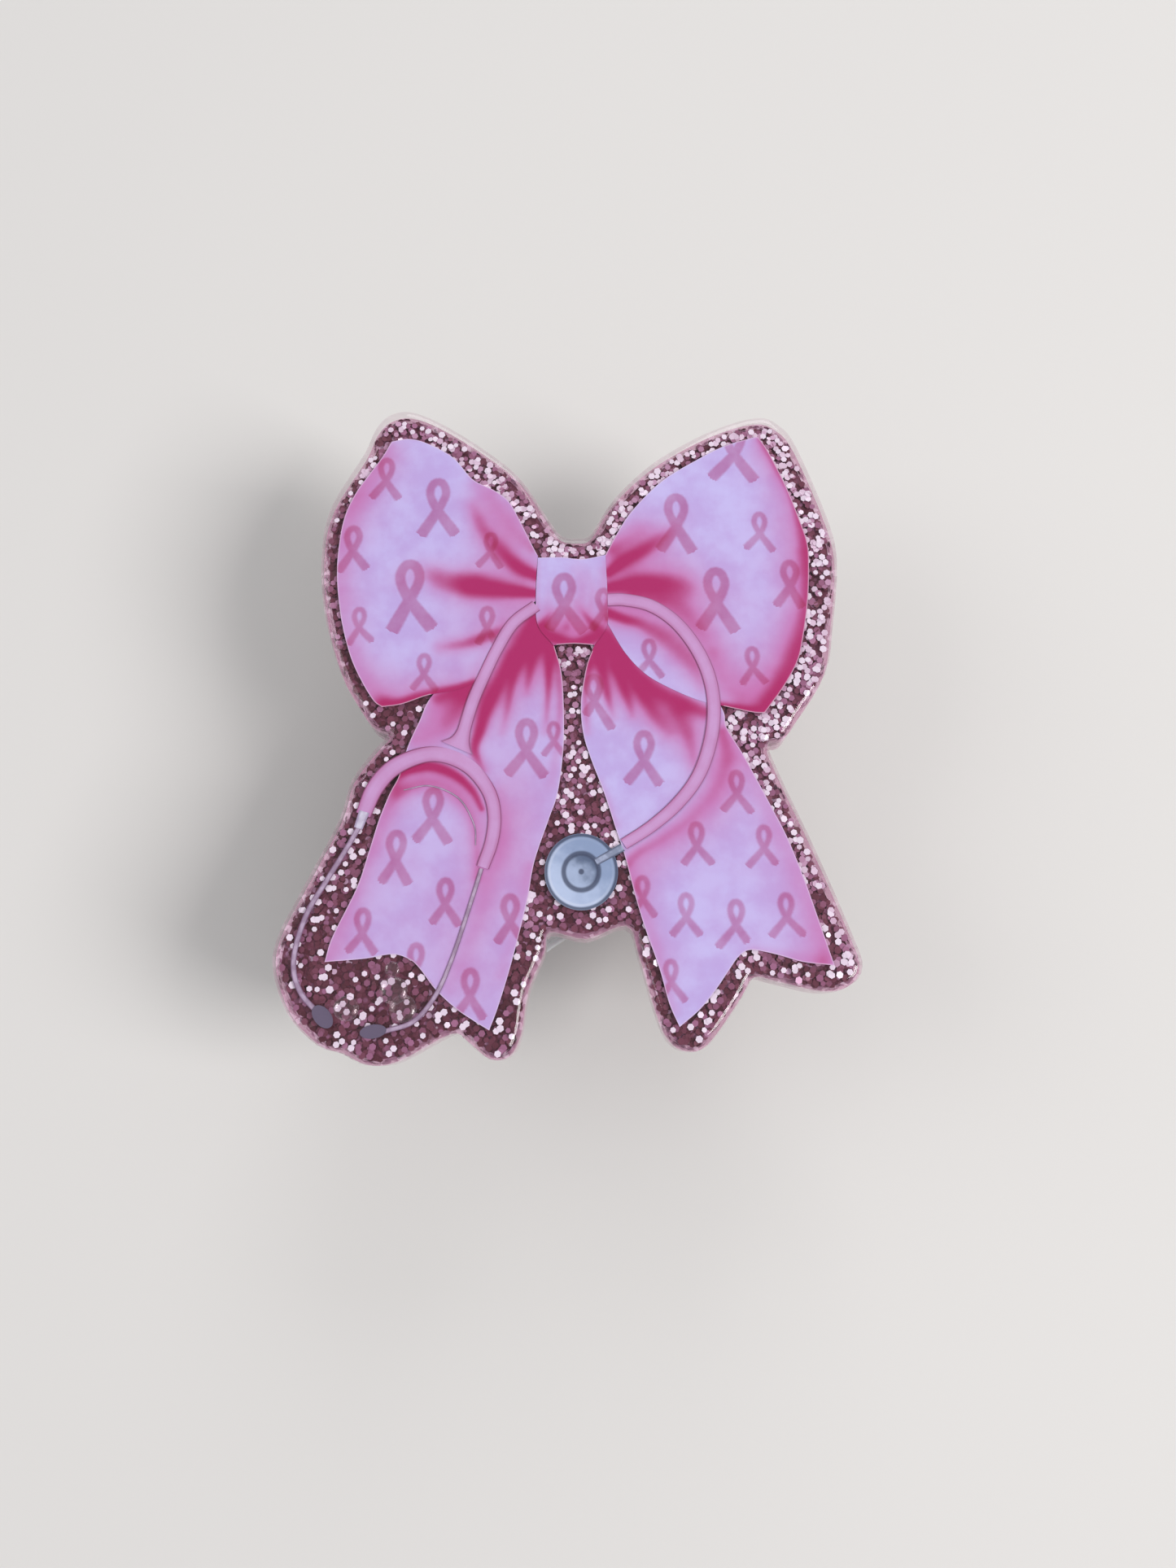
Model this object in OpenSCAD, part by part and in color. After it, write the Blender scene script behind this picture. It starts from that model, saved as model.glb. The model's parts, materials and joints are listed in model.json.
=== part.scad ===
// Retractable badge reel with a bow-shaped glitter face.
// It lies on its back: +Z is up out of the face, -Y is the side the cord leaves from.
// The origin is on the reel's axis, on the plane that the closed clip lies on.
// All sizes are in millimetres.

/* [Face] */
// Overall width of the bow-shaped face
face_w = 53.4; // [50:0.2:64]
// Overall height of the bow-shaped face
face_h = 64.8; // [61:0.2:72]
// Thickness of the glitter acrylic plate
plate_t = 3.0; // [2:0.1:4]
// Thickness of the clear resin coat over the print
resin_t = 1.4; // [0.8:0.1:2]
// Thickness of the printed film under the resin
film_t = 0.2; // [0.1:0.05:0.3]
// Width of the glitter border left outside the print
print_border = 2.2; // [1.5:0.1:3]
// Diameter of the adhesive disc between reel and face
adhesive_d = 25; // [18:0.5:28]
// Thickness of the adhesive disc
adhesive_t = 0.8; // [0.4:0.1:1.2]

/* [Reel case] */
// Outer diameter of the round case
case_d = 30; // [25:0.5:36]
// Thickness of the case, front to back
case_t = 8.2; // [8:0.1:10]
// Thickness of the front wall and of the side wall
case_wall = 1.2; // [1:0.1:1.5]
// Thickness of the back wall
back_wall = 1.4; // [1.2:0.1:1.8]
// Diameter of the fixed post that the spool turns on
post_d = 4.8; // [4:0.1:5.5]
// Height of the lip that centres the two halves
lip_h = 1.2; // [0.8:0.1:1.4]
// Diameter of the boss that the clip turns against
boss_d = 10; // [8:0.5:14]
// Height of that boss
boss_h = 0.8; // [0.5:0.1:1.5]

/* [Spool and cord] */
// Diameter of the cord
cord_d = 0.8; // [0.6:0.05:1]
// Thickness of each spool flange
flange_t = 0.8; // [0.6:0.05:1]
// Radial depth of cord wound on the spool
cord_depth = 2.0; // [1.2:0.1:2.2]
// Radial gap from the wound cord to the flange's rim
flange_rim = 0.5; // [0.2:0.1:0.8]
// Thickness of the wall between cord and spring
drum_wall = 1.0; // [0.8:0.1:1.4]
// Number of turns in the flat spring
spring_turns = 6; // [4:1:8]
// Thickness of the spring strip
spring_strip = 0.2; // [0.15:0.01:0.25]

/* [Strap] */
// Width of the vinyl strap
strap_w = 9; // [8:0.5:11]
// Length from the strap's rivet to its fold
strap_l = 26; // [24:0.5:40]
// Thickness of one layer of vinyl
vinyl_t = 0.8; // [0.6:0.05:1]
// Gap between the two layers
strap_gap = 1.8; // [1.5:0.1:2.4]
// Distance from the rivet to the snap
snap_at = 10.5; // [9.5:0.5:13]
// Diameter of the snap's cap
snap_cap_d = 8; // [7:0.25:8.5]
// Direction in which the strap lies tucked under the face
strap_angle = 198; // [190:1:205]
// Angle through which the snapped layer opens
flap_open = 20; // [10:1:20]

/* [Clip] */
// Length of the clip
clip_l = 29; // [24:0.5:32]
// Width of the clip's upper plate
clip_w = 11; // [10:0.5:13]
// Height of the clip, outside to outside
clip_h = 6.6; // [6:0.1:8]
// Thickness of the sheet steel
steel_t = 0.8; // [0.6:0.05:1]
// Diameter of the clip's pin
pin_d = 1.6; // [1.2:0.1:2]
// Distance of the pin from the swivel axis
pin_y = 6; // [5.5:0.1:7]
// Diameter of the rivet that the clip swivels on
rivet_d = 3; // [2.5:0.1:3.5]
// Number of teeth across the jaw
teeth = 6; // [4:1:8]

/* [Hidden] */
$fn = 72;

// Clearances
turn_gap = 0.05;      // radial running clearance of every pivot
stack_gap = 0.05;     // face to face running clearance
side_gap = 0.2;       // beside a moving sheet
axial_gap = 0.4;      // above and below the spool
seat_gap = 0.1;       // between the locating lip and the wall
spring_gap = 0.3;     // from the flat spring to the spool's upper rim
over = 0.1;           // how far a cut passes its face

// Heights, from the plane that the clip lies on
base_z = clip_h - steel_t;
washer_t = 0.2;
boss_z = clip_h + washer_t;
back_z = boss_z + boss_h;
floor_z = back_z + back_wall;
front_z = back_z + case_t;
roof_z = front_z - case_wall;
plate_z = front_z + adhesive_t;
film_z = plate_z + plate_t;

// Spool, from its rim inwards
case_r = case_d / 2;
wall_r = case_r - case_wall;
lip_t = 0.8;
lip_r = wall_r - seat_gap;
spool_r = lip_r - lip_t - side_gap;
cord_r = spool_r - flange_rim;
drum_r = cord_r - cord_depth;
cavity_r = drum_r - drum_wall;
post_r = post_d / 2;
spool_z = floor_z + axial_gap;
spool_top = roof_z - axial_gap;
groove_z = spool_z + flange_t;
groove_top = spool_top - flange_t;
cord_z = (groove_z + groove_top) / 2;
hub_h = 1.2;
spring_z = spool_z + hub_h + stack_gap;
spring_top = spool_top - spring_gap;

// Cord exit, at the -Y side of the case
exit_w = 5.2;
exit_pad = 0.3;
exit_face = case_r + exit_pad;
eyelet_flange_t = 0.4;
eyelet_flange_r = 2.0;
eyelet_r = 1.1;
eyelet_bore_r = cord_d / 2 + 0.25;
eyelet_face = exit_face + eyelet_flange_t;
lead_turn_y = wall_r - cord_d / 2;

// Cord end and its rivet
end_r = 1.6;
end_l = 2.1;
end_y = eyelet_face + stack_gap;
tang_t = 1.0;
tang_r = 1.8;
strap_end_r = 2.1;
rivet_y = end_y + end_l + side_gap + strap_end_r;
strap_rivet_r = 0.9;
strap_head_r = 1.6;
strap_head_t = 0.5;

// Strap levels, below the cord's own height
leaf_top = cord_z - tang_t / 2 - stack_gap;
leaf_z = leaf_top - vinyl_t;
flap_top = leaf_z - strap_gap;
flap_z = flap_top - vinyl_t;
fold_in = strap_gap / 2;
fold_out = fold_in + vinyl_t;
fold_z = flap_top + fold_in;
fold_at = strap_l - fold_out;
flap_clear = 1.8;
flap_from = strap_end_r + strap_head_r + flap_clear;
flap_slack = 4;
neck_l = 8;

// Snap fastener
stud_r = 1.65;
stud_bore_r = stud_r + 0.2;
stud_flange_r = 3.0;
stud_flange_t = 0.4;
socket_r = 3.4;
snap_shank_r = 0.9;
snap_head_r = 2.8;
snap_head_t = 0.7;
cap_t = 1.5;
shank_up = 0.1;
socket_t = strap_gap - stud_flange_t - shank_up;

// Clip
clip_front = clip_l / 2;
thumb_short = 1;
corner_r = 2;
jaw_inset = 1;
pin_r = pin_d / 2;
pin_z = clip_h / 2 - 0.1;
ear_wall = 1.1;
ear_r = pin_r + ear_wall;
lever_w = clip_w - 2 * (steel_t + side_gap);
jaw_w = lever_w - 2 * jaw_inset;
pin_head_r = pin_r + 0.4;
pin_head_t = 0.4;
coil_wire = 0.7;
coil_r = pin_r + coil_wire / 2 + 0.35;
coil_turns = 3;
coil_pitch = 1.15 * coil_wire;
leg_short = 2.3;
coil_leg = clip_front - thumb_short - pin_y - leg_short;
jaw_gap = 0.1;
jaw_lip = 0.8;
tooth_h = 0.7;
rivet_r = rivet_d / 2;
rivet_head_r = rivet_r + 1.1;
rivet_head_t = 0.8;
flare_t = 0.7;
washer_r = 4.0;

// Outline points of the bow about the reel's axis, from the notch between its loops,
// down its -X side and back up its +X side
BOW = [
    [0.3, 15.3], [-1.3, 15.6], [-2.6, 17.4], [-5.5, 21.9], [-9.2, 25.1], [-13.6, 28],
    [-16.8, 29.3], [-19, 28.8], [-20.3, 27.2], [-21.3, 24.5], [-24.2, 19], [-25, 14.4],
    [-24.5, 8], [-22.6, 1.4], [-20.6, -2.2], [-19.2, -4.1], [-17.7, -4.9],
    [-18.7, -6.2], [-20.9, -9.4], [-21.9, -13.2], [-25.2, -20.2], [-27, -24.2],
    [-27.2, -27.2], [-25.6, -31.1], [-22.8, -33.8], [-20.6, -34.5], [-18.4, -35.5],
    [-15.6, -35.2], [-10.9, -32.8], [-9.4, -33.5], [-7.4, -35], [-5.6, -34.7],
    [-4.6, -32.8], [-4, -29], [-2.6, -25.6], [-2.1, -23.7], [1.2, -24.3], [4.9, -23.1],
    [6, -25.8], [7.5, -31], [8.6, -33.4], [10.2, -34.3], [12.2, -33.7], [15.2, -29.7],
    [16.4, -27.8], [18.4, -28.1], [22.4, -29], [25, -28.6], [26.3, -26.8],
    [25.5, -23.8], [22.5, -16], [19.7, -9.4], [18.5, -5.9], [20, -5.3], [21.3, -3.6],
    [24.3, 1.2], [25.3, 6.4], [26, 12.6], [25.4, 17], [22.6, 25.1], [20.8, 27.8],
    [18.4, 28.6], [13.6, 27], [8, 23.6], [3.9, 19.5], [1.7, 15.8]
];
spline_steps = 4;

// A point at t, from 0 to 1, on the smooth curve from b to c
function curve(a, b, c, d, t) =
    (2 * b + (c - a) * t + (2 * a - 5 * b + 4 * c - d) * t * t
    + (3 * b - a - 3 * c + d) * t * t * t) / 2;

// A closed smooth curve through every point of p
function closed_curve(p, steps) = let (n = len(p)) [
    for (i = [0:n - 1], k = [0:steps - 1])
        curve(p[(i + n - 1) % n], p[i], p[(i + 1) % n], p[(i + 2) % n], k / steps)
];

function span(p, axis) = max([for (q = p) q[axis]]) - min([for (q = p) q[axis]]);

bow_drawn = closed_curve(BOW, spline_steps);
bow = [for (q = bow_drawn)
    [q[0] * face_w / span(bow_drawn, 0), q[1] * face_h / span(bow_drawn, 1)]];

// Points on an arc from angle a to angle b
function arc(r, a, b, n) = [for (i = [0:n]) let (t = a + (b - a) * i / n) r * [cos(t), sin(t)]];

module along_y(y, z) translate([0, y, z]) rotate([90, 0, 0]) children();
module along_x(y, z) translate([0, y, z]) rotate([0, 90, 0]) children();
// Puts a child drawn along +X, with its rivet at the origin, where the strap lies
module on_strap() translate([0, -rivet_y, 0]) rotate([0, 0, strap_angle]) children();
module at_snap() on_strap() translate([snap_at, 0, 0]) children();

module ring(outer, inner, h) {
    difference() {
        cylinder(r = outer, h = h);
        translate([0, 0, -over]) cylinder(r = inner, h = h + 2 * over);
    }
}

module print_shape() offset(r = -print_border) polygon(bow);

module topper_plate() {
    color("#b0507c") translate([0, 0, plate_z]) linear_extrude(plate_t) polygon(bow);
}

module print_film() {
    color("#d9a6d6") translate([0, 0, film_z]) linear_extrude(film_t) print_shape();
}

module resin_coat() {
    color("#f3dcea", 0.4) translate([0, 0, film_z]) difference() {
        linear_extrude(resin_t) polygon(bow);
        translate([0, 0, -over]) linear_extrude(film_t + over) print_shape();
    }
}

module adhesive_disc() {
    color("#e8e8e4") translate([0, 0, front_z]) cylinder(d = adhesive_d, h = adhesive_t);
}

module front_case() {
    color("#f4f1f2") difference() {
        union() {
            translate([0, 0, roof_z]) cylinder(r = case_r, h = case_wall);
            translate([0, 0, floor_z]) ring(case_r, wall_r, case_t - back_wall);
            translate([0, 0, floor_z + stack_gap])
                cylinder(r = post_r, h = roof_z - floor_z - stack_gap);
            exit_boss();
        }
        along_y(-wall_r + lip_t, cord_z) cylinder(r = eyelet_r, h = 2 * case_wall + lip_t);
    }
}

// Flat seat for the eyelet on the round wall
module exit_boss() {
    intersection() {
        translate([-exit_w / 2, -exit_face, floor_z])
            cube([exit_w, exit_face - wall_r, case_t - back_wall]);
        translate([0, 0, floor_z]) ring(case_r + 1, wall_r, case_t);
    }
}

module back_case() {
    color("#f4f1f2") difference() {
        union() {
            translate([0, 0, back_z]) cylinder(r = case_r, h = back_wall);
            translate([0, 0, boss_z]) cylinder(d = boss_d, h = boss_h);
            translate([0, 0, floor_z]) ring(lip_r, lip_r - lip_t, lip_h);
        }
        translate([0, 0, boss_z - over]) cylinder(r = rivet_r, h = boss_h + back_wall);
        translate([0, 0, floor_z - flare_t]) cylinder(r = rivet_head_r, h = flare_t + over);
    }
}

module exit_eyelet() {
    color("#c9c9cc") difference() {
        union() {
            along_y(-wall_r, cord_z) cylinder(r = eyelet_r, h = exit_face - wall_r);
            along_y(-exit_face, cord_z) cylinder(r = eyelet_flange_r, h = eyelet_flange_t);
        }
        along_y(-wall_r + over, cord_z) cylinder(r = eyelet_bore_r, h = 3 * case_wall);
    }
}

module spool() {
    color("#d8d5d6") rotate_extrude() polygon([
        [post_r + turn_gap, spool_z], [spool_r, spool_z], [spool_r, groove_z],
        [drum_r, groove_z], [drum_r, groove_top], [spool_r, groove_top],
        [spool_r, spool_top], [cavity_r, spool_top], [cavity_r, groove_z],
        [post_r + hub_h, groove_z], [post_r + hub_h, spool_z + hub_h],
        [post_r + turn_gap, spool_z + hub_h]
    ]);
}

// A flat spiral with an eye round the post and its last turn against the drum
module mainspring() {
    eye_r = post_r + 2 * turn_gap;
    first_r = eye_r + spring_strip / 2;
    last_r = cavity_r - spring_strip / 2 - stack_gap;
    sides = 24;
    count = spring_turns * sides;
    line = [for (i = [0:count]) let (a = i * 360 / sides)
        (first_r + (last_r - first_r) * i / count) * [cos(a), sin(a)]];
    outer = [for (q = line) q * (1 + spring_strip / 2 / norm(q))];
    inner = [for (i = [count:-1:0]) line[i] * (1 - spring_strip / 2 / norm(line[i]))];
    color("#8d9299") translate([0, 0, spring_z]) linear_extrude(spring_top - spring_z)
        union() {
            polygon(concat(outer, inner));
            difference() {
                circle(r = eye_r + spring_strip);
                circle(r = eye_r);
            }
        }
}

module wound_cord() {
    color("#f2efe9") translate([0, 0, groove_z + stack_gap])
        ring(cord_r, drum_r, groove_top - groove_z - 2 * stack_gap);
}

// A round wire swept along a path. flat is a direction the path keeps square to, near enough
module wire(path, r, flat, sides) {
    last = len(path) - 1;
    rings = [for (i = [0:last])
        let (t = path[min(i + 1, last)] - path[max(i - 1, 0)])
        let (u = cross(t, flat) / norm(cross(t, flat)), v = cross(u, t) / norm(t))
        for (k = [0:sides - 1])
            path[i] + r * (cos(k * 360 / sides) * u + sin(k * 360 / sides) * v)];
    polyhedron(rings, concat(
        [[for (k = [0:sides - 1]) k], [for (k = [sides - 1:-1:0]) last * sides + k]],
        [for (i = [0:last - 1], k = [0:sides - 1]) let (m = (k + 1) % sides)
            [i * sides + k, (i + 1) * sides + k, (i + 1) * sides + m, i * sides + m]]));
}

// From the side of the winding, round the eyelet's lip and out through its bore
module cord_lead() {
    turn_r = cord_r - cord_d / 2;
    clear_r = cord_r + cord_d / 2 + stack_gap;
    lean = acos(turn_r / lead_turn_y);
    leave = turn_r * [cos(lean - 90), sin(lean - 90), 0];
    step = [-cos(lean), -sin(lean), 0];
    start = leave + sqrt(clear_r * clear_r - turn_r * turn_r) * step;
    lip = [0, -lead_turn_y, 0];
    bend = cord_d;
    into = lip - bend * step;
    out = lip + [0, -bend, 0];
    turn = [for (i = [0:6]) let (t = i / 6)
        (1 - t) * (1 - t) * into + 2 * t * (1 - t) * lip + t * t * out];
    color("#f2efe9") translate([0, 0, cord_z])
        wire(concat([start], turn, [[0, -eyelet_face, 0]]), cord_d / 2, [0, 0, 1], 12);
}

module cord_tail() {
    color("#f2efe9") along_y(-end_y, cord_z) cylinder(d = cord_d, h = end_l);
}

module cord_end() {
    color("#c9c9cc") difference() {
        union() {
            along_y(-end_y, cord_z) cylinder(r = end_r, h = end_l);
            translate([-tang_r, -rivet_y, cord_z - tang_t / 2])
                cube([2 * tang_r, rivet_y - end_y - end_l / 2, tang_t]);
            translate([0, -rivet_y, cord_z - tang_t / 2]) cylinder(r = tang_r, h = tang_t);
        }
        along_y(-end_y + over, cord_z) cylinder(d = cord_d, h = end_l + over);
        translate([0, -rivet_y, 0]) cylinder(r = strap_rivet_r, h = front_z);
    }
}

module strap_rivet() {
    head_z = leaf_z - stack_gap - strap_head_t;
    top = cord_z + tang_t / 2;
    color("#c9c9cc") translate([0, -rivet_y, 0]) {
        translate([0, 0, head_z]) cylinder(r = strap_head_r, h = strap_head_t);
        translate([0, 0, head_z]) cylinder(r = strap_rivet_r, h = top - head_z);
        translate([0, 0, top]) cylinder(r = strap_head_r, h = strap_head_t);
    }
}

// Plan of the riveted layer: a small round end that widens to the full strap
module leaf_plan() {
    polygon(concat(
        [[fold_at, strap_w / 2], [neck_l, strap_w / 2]],
        arc(strap_end_r, 105, 255, 14),
        [[neck_l, -strap_w / 2], [fold_at, -strap_w / 2]]
    ));
}

// The riveted layer, and the fold at its far end as far as the flap's own sheet
module strap_leaf() {
    fold_stop = flap_open + flap_slack - 90;
    color("#dfe3ea", 0.6) on_strap() {
        difference() {
            translate([0, 0, leaf_z]) linear_extrude(vinyl_t) leaf_plan();
            cylinder(r = strap_rivet_r + turn_gap, h = front_z);
            translate([snap_at, 0, 0]) cylinder(r = snap_shank_r, h = front_z);
        }
        translate([fold_at, strap_w / 2, fold_z]) rotate([90, 0, 0])
            linear_extrude(strap_w) polygon(concat(
                arc(fold_out, fold_stop, 90, 12), arc(fold_in, 90, fold_stop, 12)));
    }
}

module snap_stud() {
    color("#c9c9cc") at_snap() translate([0, 0, leaf_z - stud_flange_t]) difference() {
        union() {
            cylinder(r = stud_flange_r, h = stud_flange_t);
            translate([0, 0, -socket_t + 2 * shank_up])
                cylinder(r = stud_r, h = socket_t - 2 * shank_up);
        }
        translate([0, 0, -over]) cylinder(r = snap_shank_r, h = stud_flange_t + 2 * over);
    }
}

module snap_post() {
    color("#c9c9cc") at_snap() {
        translate([0, 0, leaf_z - stud_flange_t])
            cylinder(r = snap_shank_r, h = stud_flange_t + vinyl_t);
        translate([0, 0, leaf_top]) cylinder(r = snap_head_r, h = snap_head_t);
    }
}

module strap_flap() {
    round_r = strap_w / 2;
    color("#dfe3ea", 0.6) on_strap() difference() {
        translate([0, 0, flap_z]) linear_extrude(vinyl_t) polygon(concat(
            [[fold_at, round_r]],
            [for (q = arc(round_r, 90, 270, 24)) q + [flap_from + round_r, 0]],
            [[fold_at, -round_r]]));
        translate([snap_at, 0, 0]) cylinder(r = snap_shank_r, h = front_z);
    }
}

module snap_socket() {
    color("#c9c9cc") at_snap() translate([0, 0, flap_top]) ring(socket_r, stud_bore_r, socket_t);
}

// A domed cap outside the flap, with the shank that holds the socket on
module snap_cap() {
    cap_r = snap_cap_d / 2;
    rim_t = 0.5;
    rise = cap_t - rim_t;
    dome_r = (cap_r * cap_r + rise * rise) / (2 * rise);
    color("#c9c9cc") at_snap() {
        translate([0, 0, flap_z - rim_t]) cylinder(r = cap_r, h = rim_t);
        intersection() {
            translate([0, 0, flap_z - cap_t + dome_r]) sphere(r = dome_r);
            translate([0, 0, flap_z - cap_t]) cylinder(r = cap_r, h = rise);
        }
        translate([0, 0, flap_z]) cylinder(r = snap_shank_r, h = vinyl_t + shank_up);
    }
}

module clip_rivet() {
    head_z = base_z - stack_gap - rivet_head_t;
    color("#c9c9cc") {
        translate([0, 0, head_z]) cylinder(r = rivet_head_r, h = rivet_head_t);
        translate([0, 0, head_z]) cylinder(r = rivet_r, h = floor_z - head_z);
        translate([0, 0, floor_z - flare_t]) cylinder(r = rivet_head_r, h = flare_t);
    }
}

module swivel_washer() {
    color("#a9adb3") translate([0, 0, clip_h])
        ring(washer_r, rivet_r + turn_gap, washer_t - stack_gap);
}

// A plate with rounded corners, from one end to the other along Y
module sheet(w, y0, y1) {
    linear_extrude(steel_t) union() {
        translate([-w / 2, y0 + corner_r]) square([w, y1 - y0 - 2 * corner_r]);
        translate([-w / 2 + corner_r, y0]) square([w - 2 * corner_r, y1 - y0]);
        for (x = [-1, 1], y = [y0 + corner_r, y1 - corner_r])
            translate([x * (w / 2 - corner_r), y]) circle(r = corner_r);
    }
}

// A pair of round-ended ears with the pin's hole, at a given outside width
module ears(w, from_z, to_z, hole_r) {
    for (side = [-1, 1]) translate([side * (w - steel_t) / 2, 0, 0]) difference() {
        union() {
            along_x(pin_y, pin_z) cylinder(r = ear_r, h = steel_t, center = true);
            translate([-steel_t / 2, pin_y - ear_r, min(from_z, to_z)])
                cube([steel_t, 2 * ear_r, abs(to_z - from_z)]);
        }
        along_x(pin_y, pin_z) cylinder(r = hole_r, h = clip_w, center = true);
    }
}

module clip_base() {
    color("#c4c6ca") {
        difference() {
            translate([0, 0, base_z]) sheet(clip_w, -clip_front, clip_front - thumb_short);
            translate([0, 0, base_z - over])
                cylinder(r = rivet_r + turn_gap, h = steel_t + 2 * over);
        }
        translate([-jaw_w / 2, -clip_front, base_z - jaw_lip])
            cube([jaw_w, steel_t, jaw_lip]);
        ears(clip_w, pin_z, base_z, pin_r);
    }
}

module clip_pin() {
    color("#c9c9cc") {
        along_x(pin_y, pin_z) cylinder(r = pin_r, h = clip_w, center = true);
        for (side = [-1, 1]) translate([side * (clip_w + pin_head_t) / 2, 0, 0])
            along_x(pin_y, pin_z) cylinder(r = pin_head_r, h = pin_head_t, center = true);
    }
}

// Round wire coiled on the pin, with a leg along the thumb end of each plate
module clip_spring() {
    steps = 16;
    total = 180 + 360 * coil_turns;
    count = total / 360 * steps;
    width = coil_pitch * total / 360;
    coil = [for (i = [0:count]) let (a = 90 + i * 360 / steps)
        [-width / 2 + i * width / count, coil_r * cos(a), coil_r * sin(a)]];
    upper = [-width / 2, coil_leg, base_z - pin_z - coil_wire / 2];
    lower = [width / 2, coil_leg, steel_t - pin_z + coil_wire / 2];
    color("#8d9299") translate([0, pin_y, pin_z])
        wire(concat([upper], coil, [lower]), coil_wire / 2, [1, 0, 0], 8);
}

module clip_lever() {
    jaw_top = base_z - jaw_lip - jaw_gap;
    pitch = jaw_w / teeth;
    color("#c4c6ca") {
        sheet(lever_w, -clip_front, clip_front);
        difference() {
            translate([-jaw_w / 2, -clip_front, steel_t])
                cube([jaw_w, steel_t, jaw_top - steel_t]);
            for (i = [0:teeth]) translate([(i - teeth / 2) * pitch, 0, jaw_top])
                rotate([90, 0, 0]) translate([0, 0, clip_front - steel_t - over])
                    linear_extrude(steel_t + 2 * over)
                        polygon([[-pitch / 2, over], [pitch / 2, over], [0, -tooth_h]]);
        }
        ears(lever_w, pin_z, steel_t, pin_r + turn_gap);
    }
}

topper_plate();
print_film();
resin_coat();
adhesive_disc();
front_case();
back_case();
exit_eyelet();
spool();
mainspring();
wound_cord();
cord_lead();
cord_tail();
cord_end();
strap_rivet();
strap_leaf();
snap_stud();
snap_post();
strap_flap();
snap_socket();
snap_cap();
clip_rivet();
swivel_washer();
clip_base();
clip_pin();
clip_spring();
clip_lever();
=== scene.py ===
"""Looks of a retractable badge reel with a bow-shaped glitter face, built on its packed parts.

Sizes are in metres, apart from the drawing's tables and the layers' heights, which are in mm,
and names that end in _mm or _MM. New pieces are surfaces worked out with numpy; each one stands
where the packed part it replaces stands.
"""

import json
import math

import bmesh
import bpy
import numpy as np
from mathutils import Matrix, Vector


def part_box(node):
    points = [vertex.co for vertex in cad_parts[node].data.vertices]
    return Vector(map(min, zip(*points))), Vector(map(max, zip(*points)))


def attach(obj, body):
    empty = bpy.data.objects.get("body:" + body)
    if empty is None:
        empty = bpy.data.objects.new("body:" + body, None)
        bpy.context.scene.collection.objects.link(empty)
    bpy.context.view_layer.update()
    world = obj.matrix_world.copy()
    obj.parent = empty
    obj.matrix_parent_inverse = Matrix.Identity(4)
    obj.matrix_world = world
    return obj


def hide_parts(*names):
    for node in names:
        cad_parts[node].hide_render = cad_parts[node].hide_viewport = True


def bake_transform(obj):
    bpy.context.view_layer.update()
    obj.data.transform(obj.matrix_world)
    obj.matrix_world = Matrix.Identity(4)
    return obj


bl_info = {
    "name": "Bow Badge Reel",
    "version": (1, 0, 0),
    "blender": (4, 5, 0),
    "location": "3D View > Sidebar > Badge Reel",
    "description": "Builds the finishes and fine pieces of a bow-shaped badge reel",
    "category": "Object",
}

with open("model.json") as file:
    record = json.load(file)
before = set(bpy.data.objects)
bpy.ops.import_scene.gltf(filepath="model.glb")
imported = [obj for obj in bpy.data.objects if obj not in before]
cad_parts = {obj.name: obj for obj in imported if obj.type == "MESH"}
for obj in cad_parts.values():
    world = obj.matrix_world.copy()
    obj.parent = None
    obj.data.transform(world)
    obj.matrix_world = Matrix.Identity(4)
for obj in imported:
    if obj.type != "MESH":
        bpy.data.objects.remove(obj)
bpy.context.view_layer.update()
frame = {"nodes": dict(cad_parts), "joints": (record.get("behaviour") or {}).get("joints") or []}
MM = 0.001

# The camera, and each lamp's name, place, width, watts and colour
SENSOR_MM = 36
LENS_MM = 27.0327
CAMERA_X = 1.37 * MM
CAMERA_Y = -36.5 * MM
LAMPS = [
    ("key lamp", (0.72, -0.24, 0.68), 0.44, 7.2, (1, 0.99, 0.985)),
    ("fill lamp", (-0.84, 0.12, 0.60), 0.64, 2.2, (0.975, 0.985, 1)),
    ("far lamp", (0.16, 1.00, 0.52), 0.60, 3.1, (1, 1, 1)),
]
FLOOR_REACH = 1.5

# Angles between faces above which an edge is kept sharp, or rounded
SHARP_WALL = math.radians(35)
SHARP_EDGE = math.radians(40)

# How finely curves, printed lines, bubbles and the cord are divided
CURVE_STEPS = 14
LOOP_STEPS = 46
STRIP_COLUMNS = 9
BUBBLE_RINGS = 14
BUBBLE_SPOKES = 28
CORD_SIDES = 16
CORD_BEND_STEPS = 22
CORD_RUN_STEPS = 26
CORD_END_STEPS = 8

# Flattening of the bubbles, and a gap in mm that counts as far from every small ribbon
BUBBLE_FLATNESS = 0.36
FAR_GAP_MM = 5.0

# The strap: half its width, the round of its riveted end, where it reaches full width from the
# rivet, and where its flap starts to round off.
STRAP_HALF = 4.5 * MM
STRAP_END_RADIUS = 2.1 * MM
STRAP_NECK = 8 * MM
STRAP_FLAP_END = 5.5 * MM

# Heights of the printed layers, in mm above the top of the acrylic plate
TAIL_LAYER = 0.03
LOOP_LAYER = 0.06
KNOT_LAYER = 0.09
TUBE_LAYER = 0.12
METAL_LAYER = 0.15

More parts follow.
